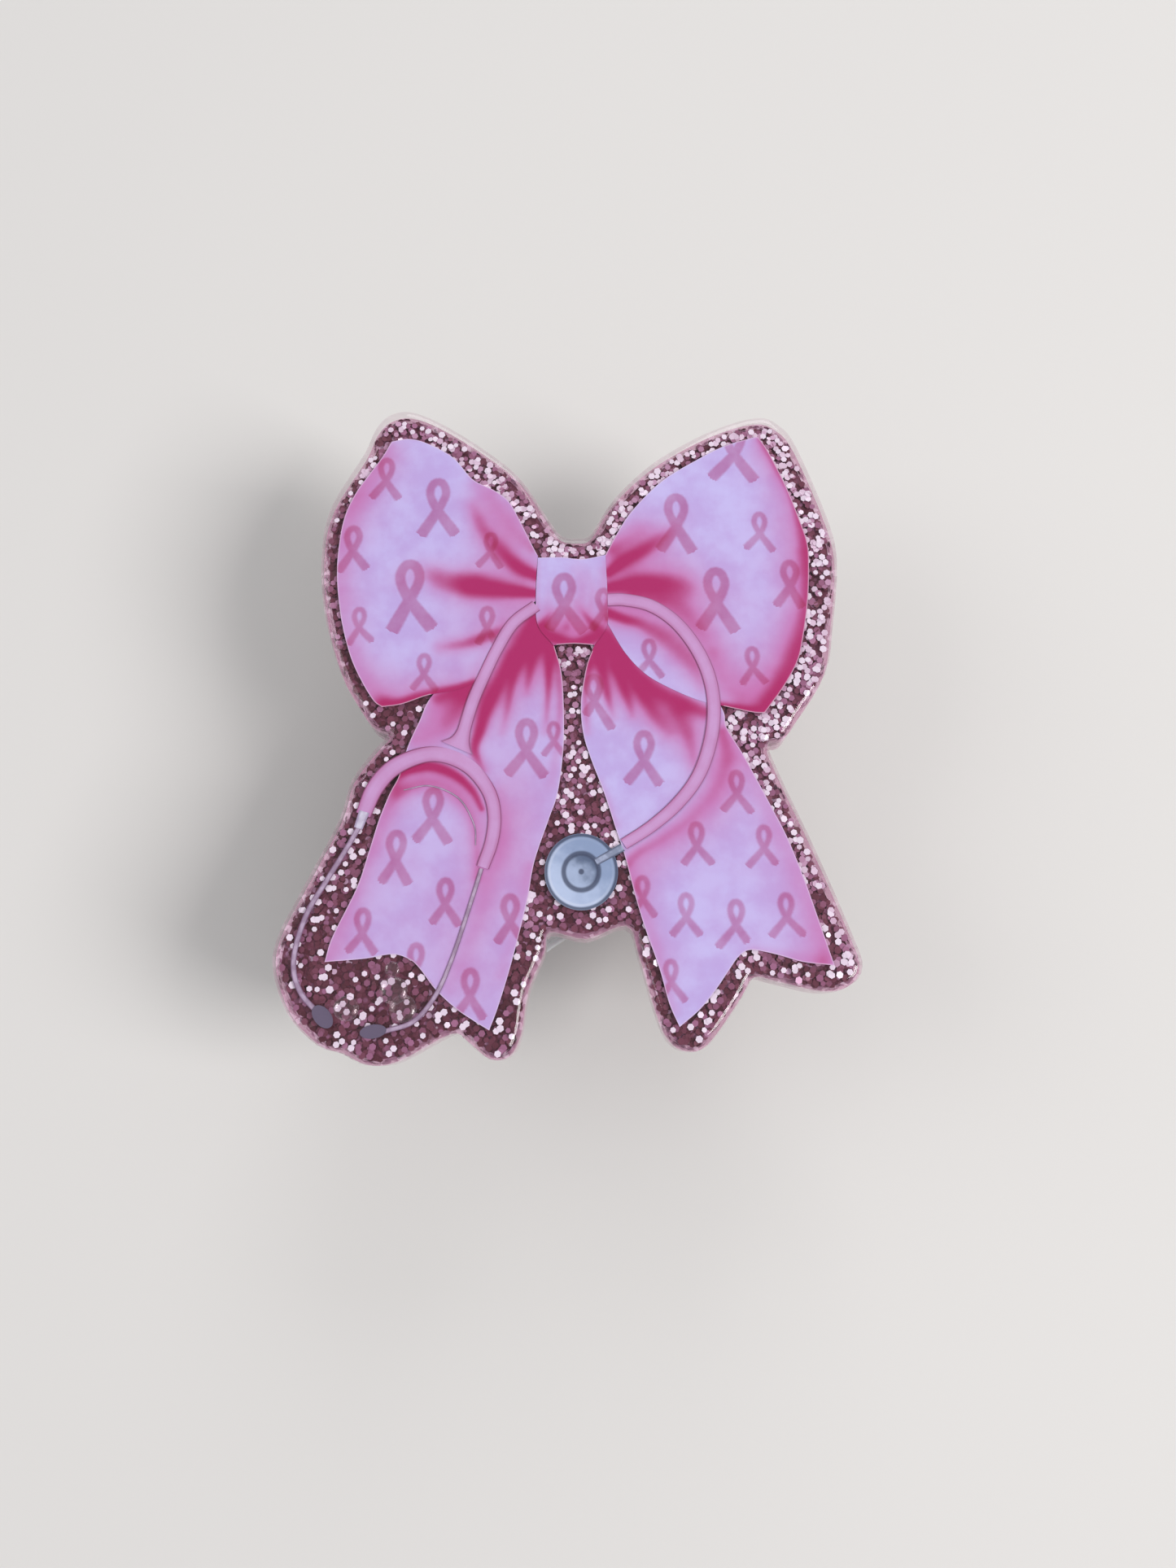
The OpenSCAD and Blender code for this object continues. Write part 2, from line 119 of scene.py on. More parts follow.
# The bow's drawing, in mm about the reel's axis. Each panel has four edges that share corners.
LEFT_LOOP = {
    "bottom": [(-3.8, 8.9), (-6, 6.7), (-7.6, 4), (-8.9, 1), (-9.8, 0.4), (-11.5, -0.3),
               (-14, -0.8), (-16.5, -1.7), (-18.4, -2)],
    "top": [(-3.6, 13.7), (-4.2, 14.9), (-5.2, 17), (-6.5, 19.5), (-8, 20.8), (-10.3, 22.1),
            (-12.3, 24.5), (-15, 26.1), (-16.9, 26.6), (-18.6, 26.3)],
    "left": [(-3.8, 8.9), (-3.75, 11.3), (-3.6, 13.7)],
    "right": [(-18.4, -2), (-19.2, -1.4), (-20.3, 0.3), (-21.5, 2.7), (-22.4, 5.5), (-23, 8.3),
              (-23.4, 11.5), (-23.4, 14.5), (-23, 17.8), (-22, 20.5), (-20.6, 22.8),
              (-19.4, 24.7), (-18.6, 26.3)],
    "grid": (150, 190),
    "layer": LOOP_LAYER,
    "folds": [
        [(-3.8, 9.7, 0.5, 1), (-7, 10.1, 1, 1), (-10, 10.5, 1.35, 1), (-12.5, 11, 1.3, 0.7),
         (-14.5, 11.8, 1.3, 0.5), (-16.5, 11.6, 1.4, 0.25)],
        [(-3.8, 11.6, 0.6, 0.95), (-5.5, 12.5, 0.8, 0.9), (-7.5, 14.5, 0.9, 0.75),
         (-9, 16.5, 0.8, 0.6), (-10.2, 19, 0.7, 0.4)],
        [(-4.2, 14.5, 0.7, 0.5), (-6.5, 17.5, 1.3, 0.4), (-8.5, 20.5, 1.2, 0.42),
         (-9.8, 21.6, 0.9, 0.3)],
        [(-6.5, 6, 0.8, 0.6), (-8, 5.4, 0.7, 0.7), (-10.5, 4.5, 0.7, 0.65), (-13, 4.1, 0.7, 0.45)],
        [(-9.7, 0.4, 0.4, 0.9), (-12, -0.5, 0.7, 0.95), (-14.5, -1, 0.75, 0.9),
         (-16.5, -1.6, 0.6, 0.95), (-18.3, -1.9, 0.7, 0.9)],
        [(-18.9, 25.5, 1, 0.3), (-20.5, 22.5, 1.2, 0.42), (-22.5, 18.5, 1.1, 0.42),
         (-23, 14.5, 1, 0.3), (-23, 9.5, 0.9, 0.25), (-22, 4.5, 0.9, 0.25), (-20, 0.5, 0.9, 0.3),
         (-18.5, -1.5, 1, 0.6)],
        [(-8.3, 3.5, 0.7, 0.25), (-9.5, 1, 0.7, 0.35)],
    ],
    "washes": [
        [(-4, 10.8, 2.4, 0.45), (-7, 12.2, 2.8, 0.3), (-7.2, 16.5, 2.6, 0.42), (-9, 19.6, 2, 0.3)],
        [(-5, 7.6, 1.8, 0.4), (-8, 7.2, 2, 0.3), (-12, 6, 2, 0.18)],
        [(-19.6, 24.5, 2.4, 0.4), (-22.3, 18, 2.3, 0.42), (-23, 11, 2.2, 0.36),
         (-21.6, 4, 2.2, 0.34), (-19, -0.7, 2, 0.45)],
        [(-10.5, 1.6, 1.6, 0.2), (-15.5, 0, 1.8, 0.3)],
    ],
    "loops": [(-13.7, 22.2, -15.3, 15.9, -11.8, 16), (-16.2, 13.3, -17.8, 5.7, -13.8, 6),
              (-19, 24.5, -20.4, 20, -17.6, 19.9), (-22, 17, -23.3, 12, -20.5, 12.3),
              (-21, 8.3, -22, 4.3, -19.6, 4.7), (-8.3, 16.3, -9.6, 12.6, -7.2, 12.4),
              (-8.5, 8.4, -9.4, 4.4, -7.4, 4.2), (-14.5, 3.5, -15.6, -0.2, -13.2, -0.4)],
}
RIGHT_LOOP = {
    "bottom": [(3.3, 6.5), (5, 3.5), (7, 1.3), (9.5, -0.2), (12, -1.3), (14, -1.8), (17, -2.5),
               (18.3, -2.6)],
    "top": [(3.1, 13.8), (4.2, 16), (5.5, 18.2), (7.6, 20.7), (9.5, 22.4), (12, 24),
            (15, 25.7), (18, 26.7), (18.7, 26.8)],
    "left": [(3.3, 6.5), (3.25, 10), (3.1, 13.8)],
    "right": [(18.3, -2.6), (18.9, -1.8), (20.4, 0.3), (21.7, 2.7), (22.3, 5), (22.9, 8.5),
              (23.2, 12), (23.2, 15), (22.4, 18), (21.5, 20.8), (20.5, 23.3), (19.5, 25.5),
              (18.7, 26.8)],
    "grid": (150, 190),
    "layer": LOOP_LAYER,
    "folds": [
        [(3.4, 11.9, 0.5, 1), (5, 13.2, 0.8, 0.95), (7, 14.4, 0.85, 0.85), (9, 15.9, 0.75, 0.5),
         (10, 16.8, 0.6, 0.25)],
        [(3.9, 14.4, 0.8, 0.6), (6.5, 16.2, 1, 0.35)],
        [(3.3, 10.3, 0.6, 1), (6, 10.7, 1, 1), (8.5, 10.7, 1.2, 0.9), (11, 10.3, 1.3, 0.6),
         (12.7, 9.8, 1.1, 0.3)],
        [(6, 9.5, 0.9, 0.6), (9.5, 8.8, 1.2, 0.6), (11.5, 7, 1.1, 0.5), (12.8, 5.3, 1, 0.35)],
        [(19, 26.5, 0.6, 0.6), (20.4, 23.5, 0.6, 0.65), (22, 20, 0.7, 0.7), (22.9, 16.5, 0.9, 0.78),
         (23.1, 12.5, 1.15, 0.8), (22.9, 9.5, 0.9, 0.75), (22.3, 5.5, 1.25, 0.8),
         (20.9, 2, 1.3, 0.85), (18.8, -1.6, 1.2, 0.9)],
        [(14, -1.9, 0.45, 0.9), (16, -2.2, 0.45, 0.95), (18.3, -2.5, 0.6, 0.95)],
        [(3.4, 7.6, 0.6, 0.95), (5, 7, 0.6, 0.9), (6.5, 6.5, 0.7, 0.75), (9, 5, 1.2, 0.65),
         (11, 3, 1.2, 0.6), (12.3, 0.5, 0.9, 0.4)],
        [(13.6, 3.5, 0.9, 0.4), (14.5, 0.5, 1, 0.35), (16, -1.1, 1, 0.4)],
    ],
    "washes": [
        [(3.6, 10.8, 2.6, 0.5), (6, 11.8, 2.8, 0.42), (9, 11.2, 2.8, 0.36), (13, 10.6, 2.4, 0.2)],
        [(4, 14.4, 2.2, 0.42), (7, 16.4, 2.2, 0.3), (9.5, 18, 2, 0.15)],
        [(5, 8.6, 2.2, 0.5), (9.5, 8, 2.6, 0.45), (12.6, 5.2, 2.6, 0.4), (14.6, 1.5, 2.4, 0.4),
         (17, -1, 2, 0.45)],
        [(19.6, 24.5, 2, 0.4), (21.6, 18.5, 2.4, 0.4), (22.3, 11, 2.4, 0.45), (21.4, 4, 2.4, 0.5),
         (18.8, -1.2, 2.4, 0.6)],
    ],
    "loops": [(10.2, 20.5, 8.5, 14.3, 11.8, 14.1), (18.5, 18.5, 17, 14.5, 19.8, 14.2),
              (16.2, 28.6, 13.8, 22.2, 18.2, 21.9), (14, 12.5, 12.3, 6, 15.8, 5.7),
              (21.3, 13.3, 19.8, 8.4, 22.4, 8.2), (17.3, 4.2, 16.2, 0.3, 18.6, 0.4),
              (7.3, 5, 6, 1.2, 8.6, 1)],
}
LEFT_TAIL = {
    "bottom": [(-1.9, 4.2), (-1.2, 1.5), (-0.95, -2.5), (-1, -6.5), (-1.5, -10.5), (-2.3, -13),
               (-3.6, -17), (-4.2, -20.5), (-5, -24), (-5.9, -27.5), (-6.8, -30.5), (-7.5, -32.4)],
    "top": [(-3, 8.7), (-6, 6.6), (-9.5, 3), (-13.5, -0.7), (-14.8, -3.5), (-15.8, -6),
            (-16.5, -8.8), (-17.3, -10.5), (-18.2, -13), (-19, -16), (-20, -19.5), (-22, -24),
            (-22.6, -26.3)],
    "left": [(-1.9, 4.2), (-2.5, 6.3), (-3, 8.7)],
    "right": [(-7.5, -32.4), (-9, -31.5), (-10.5, -30.5), (-12.4, -28.8), (-14, -26.8),
              (-15, -26), (-16.5, -25.6), (-19, -26), (-22.6, -26.3)],
    "grid": (230, 110),
    "layer": TAIL_LAYER,
    "folds": [
        [(-3.6, 6.5, 1.2, 1), (-4.5, 4.5, 1.4, 1), (-6, 2.5, 1.1, 0.95), (-7.2, 0.5, 0.9, 0.9),
         (-8.3, -2, 0.75, 0.9), (-9, -4.5, 0.6, 0.9), (-9.4, -6.3, 0.5, 0.8),
         (-8.5, -8.3, 0.4, 0.5)],
        [(-2.3, 6, 1.2, 1), (-2.2, 4, 0.9, 0.95), (-2.4, 2, 0.5, 0.85), (-2.5, -1, 0.4, 0.6),
         (-2.7, -4.5, 0.4, 0.3)],
        [(-3.8, 4.6, 0.8, 0.95), (-4.2, 2, 0.5, 0.75), (-4.5, -0.5, 0.4, 0.4)],
        [(-5.6, 3, 0.7, 0.9), (-6, 0.5, 0.5, 0.75), (-6.4, -2.5, 0.45, 0.5),
         (-6.8, -4.5, 0.4, 0.25)],
        [(-1.5, 2.5, 0.5, 0.6), (-1.3, -1.5, 0.5, 0.5), (-1.5, -5.5, 0.5, 0.4),
         (-2, -9.5, 0.6, 0.25)],
        [(-10.5, -1, 1.2, 0.85), (-11.8, -3, 1.2, 0.65), (-13, -4.5, 1.1, 0.45),
         (-15, -5.3, 0.9, 0.4)],
        [(-9.5, 0.3, 0.8, 0.8), (-13, -1.1, 0.8, 0.7)],
        [(-17, -9.1, 0.4, 0.7), (-15.5, -8.2, 0.5, 0.95), (-13.5, -7.9, 0.55, 0.95),
         (-11.3, -8.7, 0.5, 0.9), (-9.6, -10.2, 0.42, 0.8), (-8.6, -12, 0.3, 0.7)],
        [(-16.5, -10.5, 0.7, 0.45), (-14, -9.5, 0.6, 0.45), (-11.5, -10.3, 0.6, 0.45),
         (-9.7, -12.5, 0.6, 0.45), (-9, -15.5, 0.6, 0.45), (-8.9, -18.5, 0.5, 0.5)],
        [(-7, -10.5, 0.7, 0.3), (-6.6, -13.5, 0.7, 0.36), (-7.2, -16.5, 0.8, 0.34),
         (-8, -19, 0.7, 0.3), (-8.8, -22.5, 0.9, 0.22), (-10.2, -26.5, 0.9, 0.2),
         (-11.3, -28.5, 0.8, 0.2)],
        [(-16.7, -10, 0.8, 0.5), (-18, -13.5, 0.7, 0.4), (-19.5, -18, 0.7, 0.32),
         (-21.5, -23, 0.9, 0.32), (-22.3, -25.8, 0.9, 0.32)],
        [(-4, -17.5, 0.6, 0.3), (-5, -22.5, 0.6, 0.25), (-6.5, -27.5, 0.5, 0.2)],
    ],
    "washes": [
        [(-14, -12, 5, 0.12), (-15, -18, 5, 0.2), (-13, -24, 5, 0.22), (-9, -29, 4, 0.2)],
        [(-4.5, -11, 2.5, 0.2), (-6, -17, 3, 0.25)],
        [(-2.8, 5.8, 2.6, 0.8), (-4.2, 3.2, 2.6, 0.7), (-5, 0.8, 2.4, 0.45), (-5.6, -2, 2.4, 0.25),
         (-6, -8, 3, 0.2), (-6, -16, 3.6, 0.2), (-8, -27, 4, 0.12)],
        [(-9.6, 0.4, 1.6, 0.8), (-12, -1.8, 1.7, 0.7), (-14.2, -4, 1.7, 0.5)],
        [(-16.5, -9.3, 1.3, 0.35), (-13, -8.8, 1.3, 0.4), (-10.5, -10.5, 1.3, 0.4)],
        [(-7, -12, 1.5, 0.22), (-8, -20, 1.7, 0.15), (-10.6, -28, 2, 0.1)],
        [(-17.5, -12, 1.6, 0.25), (-20, -18.5, 1.8, 0.3), (-22, -25, 2.2, 0.36)],
    ],
    "loops": [(-4.5, -3.1, -6.3, -8.7, -2.7, -8.9), (-13.2, -9.9, -14.8, -15.1, -11.6, -15.3),
              (-16.5, -14, -17.8, -19, -15.2, -19.2), (-11.8, -18.5, -13, -22.8, -10.4, -23),
              (-19.3, -21.3, -20.6, -25.4, -18, -25.6), (-14.3, -24.5, -15.8, -28.6, -12.8, -28.8),
              (-5.8, -20, -7, -24.6, -4.2, -24.8), (-9.3, -26.8, -10.6, -31.2, -8, -31.4),
              (-1.9, -3.4, -2.9, -6.8, -0.7, -7)],
}
RIGHT_TAIL = {
    "bottom": [(1.9, 4.1), (1.2, 2), (0.7, -1.5), (0.9, -4.5), (1.6, -7), (2.9, -10.5),
               (4, -14), (4.8, -16.5), (5.8, -20.5), (6.7, -23.5), (7.9, -27), (8.7, -30),
               (9.6, -32.1)],
    "top": [(3.3, 6.8), (8, 3.5), (12.5, 0.5), (14.3, -2.3), (14.6, -4), (16, -6.5),
            (17.5, -9.5), (18.7, -12), (20, -14.8), (21.5, -19), (22.8, -23.3), (23.8, -26.6)],
    "left": [(1.9, 4.1), (2.6, 5.5), (3.3, 6.8)],
    "right": [(9.6, -32.1), (11.5, -30.5), (13, -28.7), (14.2, -27), (15.2, -25.7),
              (16.3, -25.2), (18.5, -25.6), (21, -26.3), (23.8, -26.6)],
    "grid": (230, 110),
    "layer": TAIL_LAYER,
    "folds": [
        [(3, 5, 1.2, 1), (4.5, 3, 1, 1), (6, 1, 1, 0.95), (8, -0.5, 1, 0.85),
         (10.5, -1.7, 0.9, 0.8), (12.5, -2.5, 0.8, 0.7)],
        [(2.2, 4, 0.9, 0.95), (2.8, 1.5, 0.6, 0.85), (3.3, -1, 0.45, 0.65), (3.8, -3, 0.4, 0.3)],
        [(1.5, 2.5, 0.5, 0.8), (1.1, -0.5, 0.4, 0.6), (1.3, -4.5, 0.4, 0.35)],
        [(4.2, 2, 0.7, 0.95), (5, -0.5, 0.55, 0.75), (5.6, -2.8, 0.4, 0.4)],
        [(6.4, 0, 0.7, 0.85), (7.6, -2.4, 0.8, 0.7), (9, -4.4, 0.8, 0.45)],
        [(10, -2.6, 1.1, 0.7), (11, -5.2, 0.8, 0.6), (11.4, -7.5, 0.6, 0.4)],
        [(14.2, -4.5, 0.6, 0.6), (14.6, -7, 0.9, 0.55), (13.5, -10, 0.95, 0.5),
         (11.5, -12.5, 0.85, 0.5), (9, -14.5, 0.75, 0.5), (6, -16.3, 0.65, 0.55),
         (4.9, -17.5, 0.6, 0.6)],
        [(2.6, -9.5, 0.5, 0.3), (3.8, -13.5, 0.5, 0.35)],
        [(16.5, -7.5, 0.9, 0.35), (19, -13.5, 0.9, 0.28), (21, -18.5, 1, 0.33),
         (22.8, -24, 1.2, 0.4), (23, -26.2, 1, 0.4)],
        [(16.5, -25.4, 0.6, 0.3), (22.5, -26.3, 0.8, 0.38)],
        [(5.5, -19, 0.5, 0.4), (6.5, -21.5, 0.6, 0.3), (8, -26.5, 0.5, 0.28),
         (9, -30.5, 0.6, 0.33)],
    ],
    "washes": [
        [(2.6, 5.6, 2.4, 0.85), (4.2, 3, 2.8, 0.75), (6.2, 0.6, 2.6, 0.6), (8.6, -1.8, 2.3, 0.5),
         (10.6, -4.8, 1.9, 0.36), (11.6, -8, 1.6, 0.22)],
        [(14.6, -5, 2, 0.5), (14.2, -9, 2, 0.42), (11.5, -13.2, 2, 0.38), (7.5, -16.6, 1.9, 0.36),
         (5, -18.5, 1.8, 0.36)],
        [(18, -11.5, 1.8, 0.22), (21, -19, 2.4, 0.3), (23, -25.5, 2.6, 0.38)],
        [(5.5, -19, 1.8, 0.26), (7.6, -26, 1.8, 0.24)],
        [(14, -18, 4.5, 0.1), (15, -24, 4, 0.12)],
    ],
    "loops": [(6.7, -4.3, 5, -9.5, 8.2, -9.7), (1.9, 1.4, 1.1, -2.8, 3.7, -4.2),
              (11.5, -13.2, 10.2, -17.3, 13, -17.3), (17.8, -13.5, 16.2, -17.5, 18.9, -17.3),
              (10.4, -19.9, 9, -23.9, 11.7, -23.9), (15, -20.5, 13.2, -25, 16, -24.5),
              (19.6, -19.9, 18.1, -24, 21.2, -23.9), (8.9, -26, 7.9, -29.6, 10.2, -29.8),
              (15.4, -8.2, 14, -12.2, 16.8, -12.4), (6.4, -18.3, 5.4, -22, 7.6, -22.2)],
}
KNOT = {
    "bottom": [(-2, 4.3), (0, 4.45), (2, 4.3)],
    "top": [(-3.6, 13.5), (-1.3, 13.55), (0.8, 13.35), (3.1, 13.8)],
    "left": [(-2, 4.3), (-3.5, 6.3), (-3.75, 9), (-3.6, 13.5)],
    "right": [(2, 4.3), (3.2, 6.3), (3.3, 9), (3.1, 13.8)],
    "grid": (60, 80),
    "layer": KNOT_LAYER,
    "folds": [
        [(-3.2, 5.4, 0.8, 0.95), (-1.5, 4.9, 0.75, 0.9), (0, 4.6, 0.6, 0.8),
         (1.5, 4.9, 0.75, 0.9), (2.8, 5.4, 0.7, 0.85)],
        [(-3.1, 6.3, 0.5, 0.8), (-2.4, 7.4, 0.4, 0.5), (-1.6, 8.2, 0.35, 0.15)],
        [(2.2, 6, 0.5, 0.8), (1.1, 7.4, 0.4, 0.6), (0.4, 8.6, 0.4, 0.2)],
        [(-0.7, 6.2, 0.5, 0.5), (-0.5, 7.6, 0.4, 0.2)],
        [(1.6, 8, 0.3, 0.25), (1.9, 10, 0.35, 0.2), (1.4, 12, 0.3, 0.1)],
        [(3.2, 7, 0.45, 0.6), (3.2, 10, 0.3, 0.3), (3.1, 13, 0.3, 0.3)],
        [(-3.6, 13, 0.25, 0.25), (-3.7, 8, 0.35, 0.35)],
    ],
    "washes": [
        [(-3, 5.2, 1.6, 0.7), (0, 5.3, 1.6, 0.75), (3, 5.4, 1.6, 0.7)],
        [(0.2, 8, 1, 0.4), (0.8, 10, 0.9, 0.35), (0.3, 12.3, 0.8, 0.25)],
        [(-2.6, 8.2, 0.5, 0.25), (-2.3, 11, 0.5, 0.15)],
        [(2.9, 7.5, 0.5, 0.4), (2.7, 12, 0.5, 0.25)],
    ],
    "loops": [(-1, 11.9, -2.5, 5.9, 1, 5.6), (2.9, 10.3, 1.7, 5.9, 4.4, 5.9)],
}
PANELS = {
    "bow_tail_left": LEFT_TAIL,
    "bow_tail_right": RIGHT_TAIL,
    "bow_loop_left": LEFT_LOOP,
    "bow_loop_right": RIGHT_LOOP,
    "bow_knot": KNOT,
}

# The stethoscope's lines: points in mm, the half width at each, and how strongly its edges are
# drawn: one number for both, or one for the edge on the right as it runs and one for the left
YOKE_TUBE = [(-3.7, 8.4, 0.62, 1), (-5.9, 6.6, 0.62, 1), (-7.4, 4, 0.6, 1), (-8.6, 1.3, 0.6, 1),
             (-9.6, -1.2, 0.61, 1), (-10.2, -3.3, 0.62, 1), (-10.5, -4.5, 0.68, 1),
             (-10.8, -5.4, 1, 0.9), (-11.1, -6.1, 1.7, 0.6)]
YOKE_ARCH = [(-19.7, -12.6, 0.74, 1, 1), (-18.7, -10, 0.84, 1, 1), (-17, -8, 0.84, 1, 1),
             (-14.3, -6.8, 0.78, 1, 1), (-12, -6.9, 0.74, 1, 0), (-9.7, -8.1, 0.7, 1, 0),
             (-8, -10.3, 0.66, 1, 1), (-7.4, -12.6, 0.64, 1, 1), (-7.6, -15.1, 0.64, 1, 1),
             (-8.4, -17.6, 0.6, 1, 1)]
FERRULE = [(-19.6, -12.3, 0.5, 1), (-20.1, -13.9, 0.42, 1)]
LEFT_EAR_TUBE = [(-19.9, -13.5, 0.25, 1), (-21.2, -16, 0.25, 1), (-22.9, -19, 0.25, 1),
                 (-24.4, -21.8, 0.25, 1), (-25.3, -25, 0.25, 1), (-25.3, -27.3, 0.25, 1),
                 (-24.5, -29.2, 0.25, 1), (-23.2, -30.6, 0.24, 1)]
RIGHT_EAR_TUBE = [(-8.5, -17.7, 0.2, 1), (-9.6, -21.5, 0.2, 1), (-11, -26, 0.2, 1),
                  (-12.4, -29.3, 0.22, 1), (-14.3, -31.6, 0.23, 1), (-16.9, -32.5, 0.22, 1)]
CHEST_TUBE = [(3.3, 9, 0.66, 1, 0.6), (5, 9, 0.66, 1, 0.6), (7.5, 8.4, 0.66, 1, 0.6),
              (9.8, 6.8, 0.66, 1, 0.7), (11.7, 4.3, 0.66, 1, 0.7), (13, 1.3, 0.66, 1, 0.8),
              (13.45, -2, 0.66, 1, 0.8), (13, -5.5, 0.66, 1, 0.8), (11.8, -8.8, 0.64, 1, 0.8),
              (9.8, -11.5, 0.62, 1, 0.8), (7.3, -13.7, 0.58, 1, 0.8), (4.7, -15.4, 0.55, 1, 0.8)]
FOLD_LINE = [(-16, -10.2, 0.05, 1), (-13.5, -9.8, 0.07, 1), (-10.8, -11, 0.08, 1),
             (-9.3, -13.5, 0.07, 1), (-9.1, -15.5, 0.05, 1)]
CHEST_CENTRE = (0.75, -18.0)
CHEST_RADII = (3.4, 3.6)
CHEST_STEM = [(2.1, -17.1, 0.34, 1), (4.6, -15.7, 0.4, 1)]
EAR_TIPS = [(-22.5, -31.2, 1.2, 0.75, -48), (-17.9, -32.5, 1.2, 0.62, 8)]
BUBBLES = [(-15.2, -30.5, 1.25), (-16.1, -28.9, 1.3), (-20.3, -30.5, 1.15), (-16.3, -27, 0.7)]


def paint(red, green, blue):
    """Linear colour of a display colour: each channel to the power that a display undoes."""
    return tuple(
        c / 12.92 if c <= 0.04045 else ((c + 0.055) / 1.055) ** 2.4 for c in (red, green, blue)
    )


def darker(colour, share):
    """A colour with each channel cut to a share of itself."""
    return tuple(c * share for c in colour)


# ---------------------------------------------------------------- sizes and colours to change

def colour_value(label, description, default):
    """A colour that can be changed in the panel."""
    return bpy.props.FloatVectorProperty(
        name=label, description=description, default=default, subtype="COLOR", min=0, max=1)


def length_value(label, description, default, low, high):
    """A length that can be changed in the panel."""
    return bpy.props.FloatProperty(
        name=label, description=description, default=default, min=low, max=high,
        unit="LENGTH", precision=5)


class PrintLook(bpy.types.PropertyGroup):
    """Colours of the printed bow."""

    paper: colour_value(
        "Ribbon", "Plain colour of the bow's ribbon", paint(0.805, 0.785, 0.98))
    blush: colour_value(
        "Blush", "Colour at the edge of each fold", paint(0.80, 0.44, 0.70))
    shade: colour_value(
        "Fold", "Deepest colour inside each fold", paint(0.70, 0.11, 0.41))
    motif: colour_value(
        "Loops", "Tint of the small ribbon loops", (0.785, 0.30, 0.43))
    tube: colour_value(
        "Tube", "Colour of the drawn tube", paint(0.82, 0.65, 0.85))
    disc: colour_value(
        "Chest piece", "Colour of the drawn chest piece", paint(0.56, 0.65, 0.78))


class GlitterLook(bpy.types.PropertyGroup):
    """Sizes and colours of the glitter."""

    flake: length_value(
        "Flake width", "Width of one glitter flake", 0.68 * MM, 0.2 * MM, 1.5 * MM)
    top_count: bpy.props.IntProperty(
        name="Flakes on top", description="Number of flakes seen from the front",
        default=4400, min=100, max=20000)
    wall_count: bpy.props.IntProperty(
        name="Flakes in the wall", description="Number of flakes seen from the side",
        default=2400, min=100, max=10000)
    back_count: bpy.props.IntProperty(
        name="Flakes behind", description="Number of flakes seen from behind",
        default=6500, min=100, max=20000)
    bright: colour_value(
        "Bright flakes", "Colour of the flakes that catch the light", paint(0.98, 0.93, 0.99))
    middle: colour_value(
        "Rose flakes", "Colour of the flakes in between", paint(0.67, 0.44, 0.58))
    dark: colour_value(
        "Dark flakes", "Colour of the flakes turned away", paint(0.34, 0.13, 0.19))


class ResinLook(bpy.types.PropertyGroup):
    """Shape of the clear resin."""

    rim: length_value(
        "Rim round", "How far in from the edge the resin is rounded", 1.1 * MM, 0.3 * MM, 1.6 * MM)
    tint: colour_value(
        "Tint", "Colour that light takes on through the resin", (0.985, 0.955, 0.97))
    wall: colour_value(
        "Edge", "Colour of the clear acrylic's edge", paint(0.88, 0.64, 0.77))
    body: bpy.props.FloatProperty(
        name="Body", description="How far the acrylic's edge hides what is behind it",
        default=0.42, min=0, max=0.7)


class FittingLook(bpy.types.PropertyGroup):
    """Colours of the fittings behind the face."""

    plastic: colour_value(
        "Case", "Colour of the moulded case", paint(0.93, 0.92, 0.93))
    nickel: colour_value(
        "Nickel", "Colour of the plated metal", paint(0.86, 0.86, 0.87))
    spring: colour_value(
        "Spring steel", "Colour of the springs", paint(0.62, 0.64, 0.67))
    cord: colour_value(
        "Cord", "Colour of the braided cord", paint(0.95, 0.94, 0.91))
    vinyl: colour_value(
        "Vinyl", "Colour of the clear strap", (0.93, 0.95, 0.975))


class StageLook(bpy.types.PropertyGroup):
    """Floor, camera and lamps."""

    floor: colour_value(
        "Floor", "Colour of the floor", paint(0.88, 0.87, 0.86))
    distance: length_value(
        "Camera height", "Height of the camera above the printed layer", 107.7 * MM, 50 * MM, 1)
    tilt: bpy.props.FloatProperty(
        name="Tilt", description="How far the camera leans back from straight down",
        default=math.radians(14), min=0, max=math.radians(80), unit="ROTATION")
    sky: bpy.props.FloatProperty(
        name="Sky", description="Strength of the even light from all round",
        default=0.40, min=0, max=2)


LOOKS = {
    "print_look": PrintLook,
    "glitter_look": GlitterLook,
    "resin_look": ResinLook,
    "fitting_look": FittingLook,
    "stage_look": StageLook,
}


# ---------------------------------------------------------------------------- shader helpers

def arithmetic(operation, turned=False):
    """A method that adds a math node to the shader; turned puts this socket second."""
    def method(self, other):
        pair = (other, self) if turned else (self, other)
        return self.shader.math(operation, *pair)
    return method


class Socket:
    """An output of a shader node that takes part in Python arithmetic: each sum adds its node."""

    __add__ = arithmetic("ADD")
    __radd__ = arithmetic("ADD", turned=True)
    __sub__ = arithmetic("SUBTRACT")
    __rsub__ = arithmetic("SUBTRACT", turned=True)
    __mul__ = arithmetic("MULTIPLY")
    __rmul__ = arithmetic("MULTIPLY", turned=True)
    __pow__ = arithmetic("POWER")
    most = arithmetic("MAXIMUM")

    def __init__(self, shader, output):
        self.shader = shader
        self.output = output

    def rise(self, low, high):
        """0 below low, 1 above high and a smooth step between."""
        return self.shader.node(
            "MapRange", {"interpolation_type": "SMOOTHSTEP"},
            {"Value": self, "From Min": low, "From Max": high})["Result"]

    def below(self, edge, soft):
        """1 well below edge, 0 well above it, over a band 2 soft wide."""
        return 1 - self.rise(edge - soft, edge + soft)


class Outputs:
    """The outputs of one node, by name."""

    def __init__(self, shader, node):
        self.shader = shader
        self.node = node

    def __getitem__(self, name):
        return Socket(self.shader, named(self.node.outputs, name))


def named(sockets, name):
    """A socket by its place, its identifier or its name."""
    if isinstance(name, int):
        return sockets[name]
    return next(s for s in sockets if name in (s.identifier, s.name))


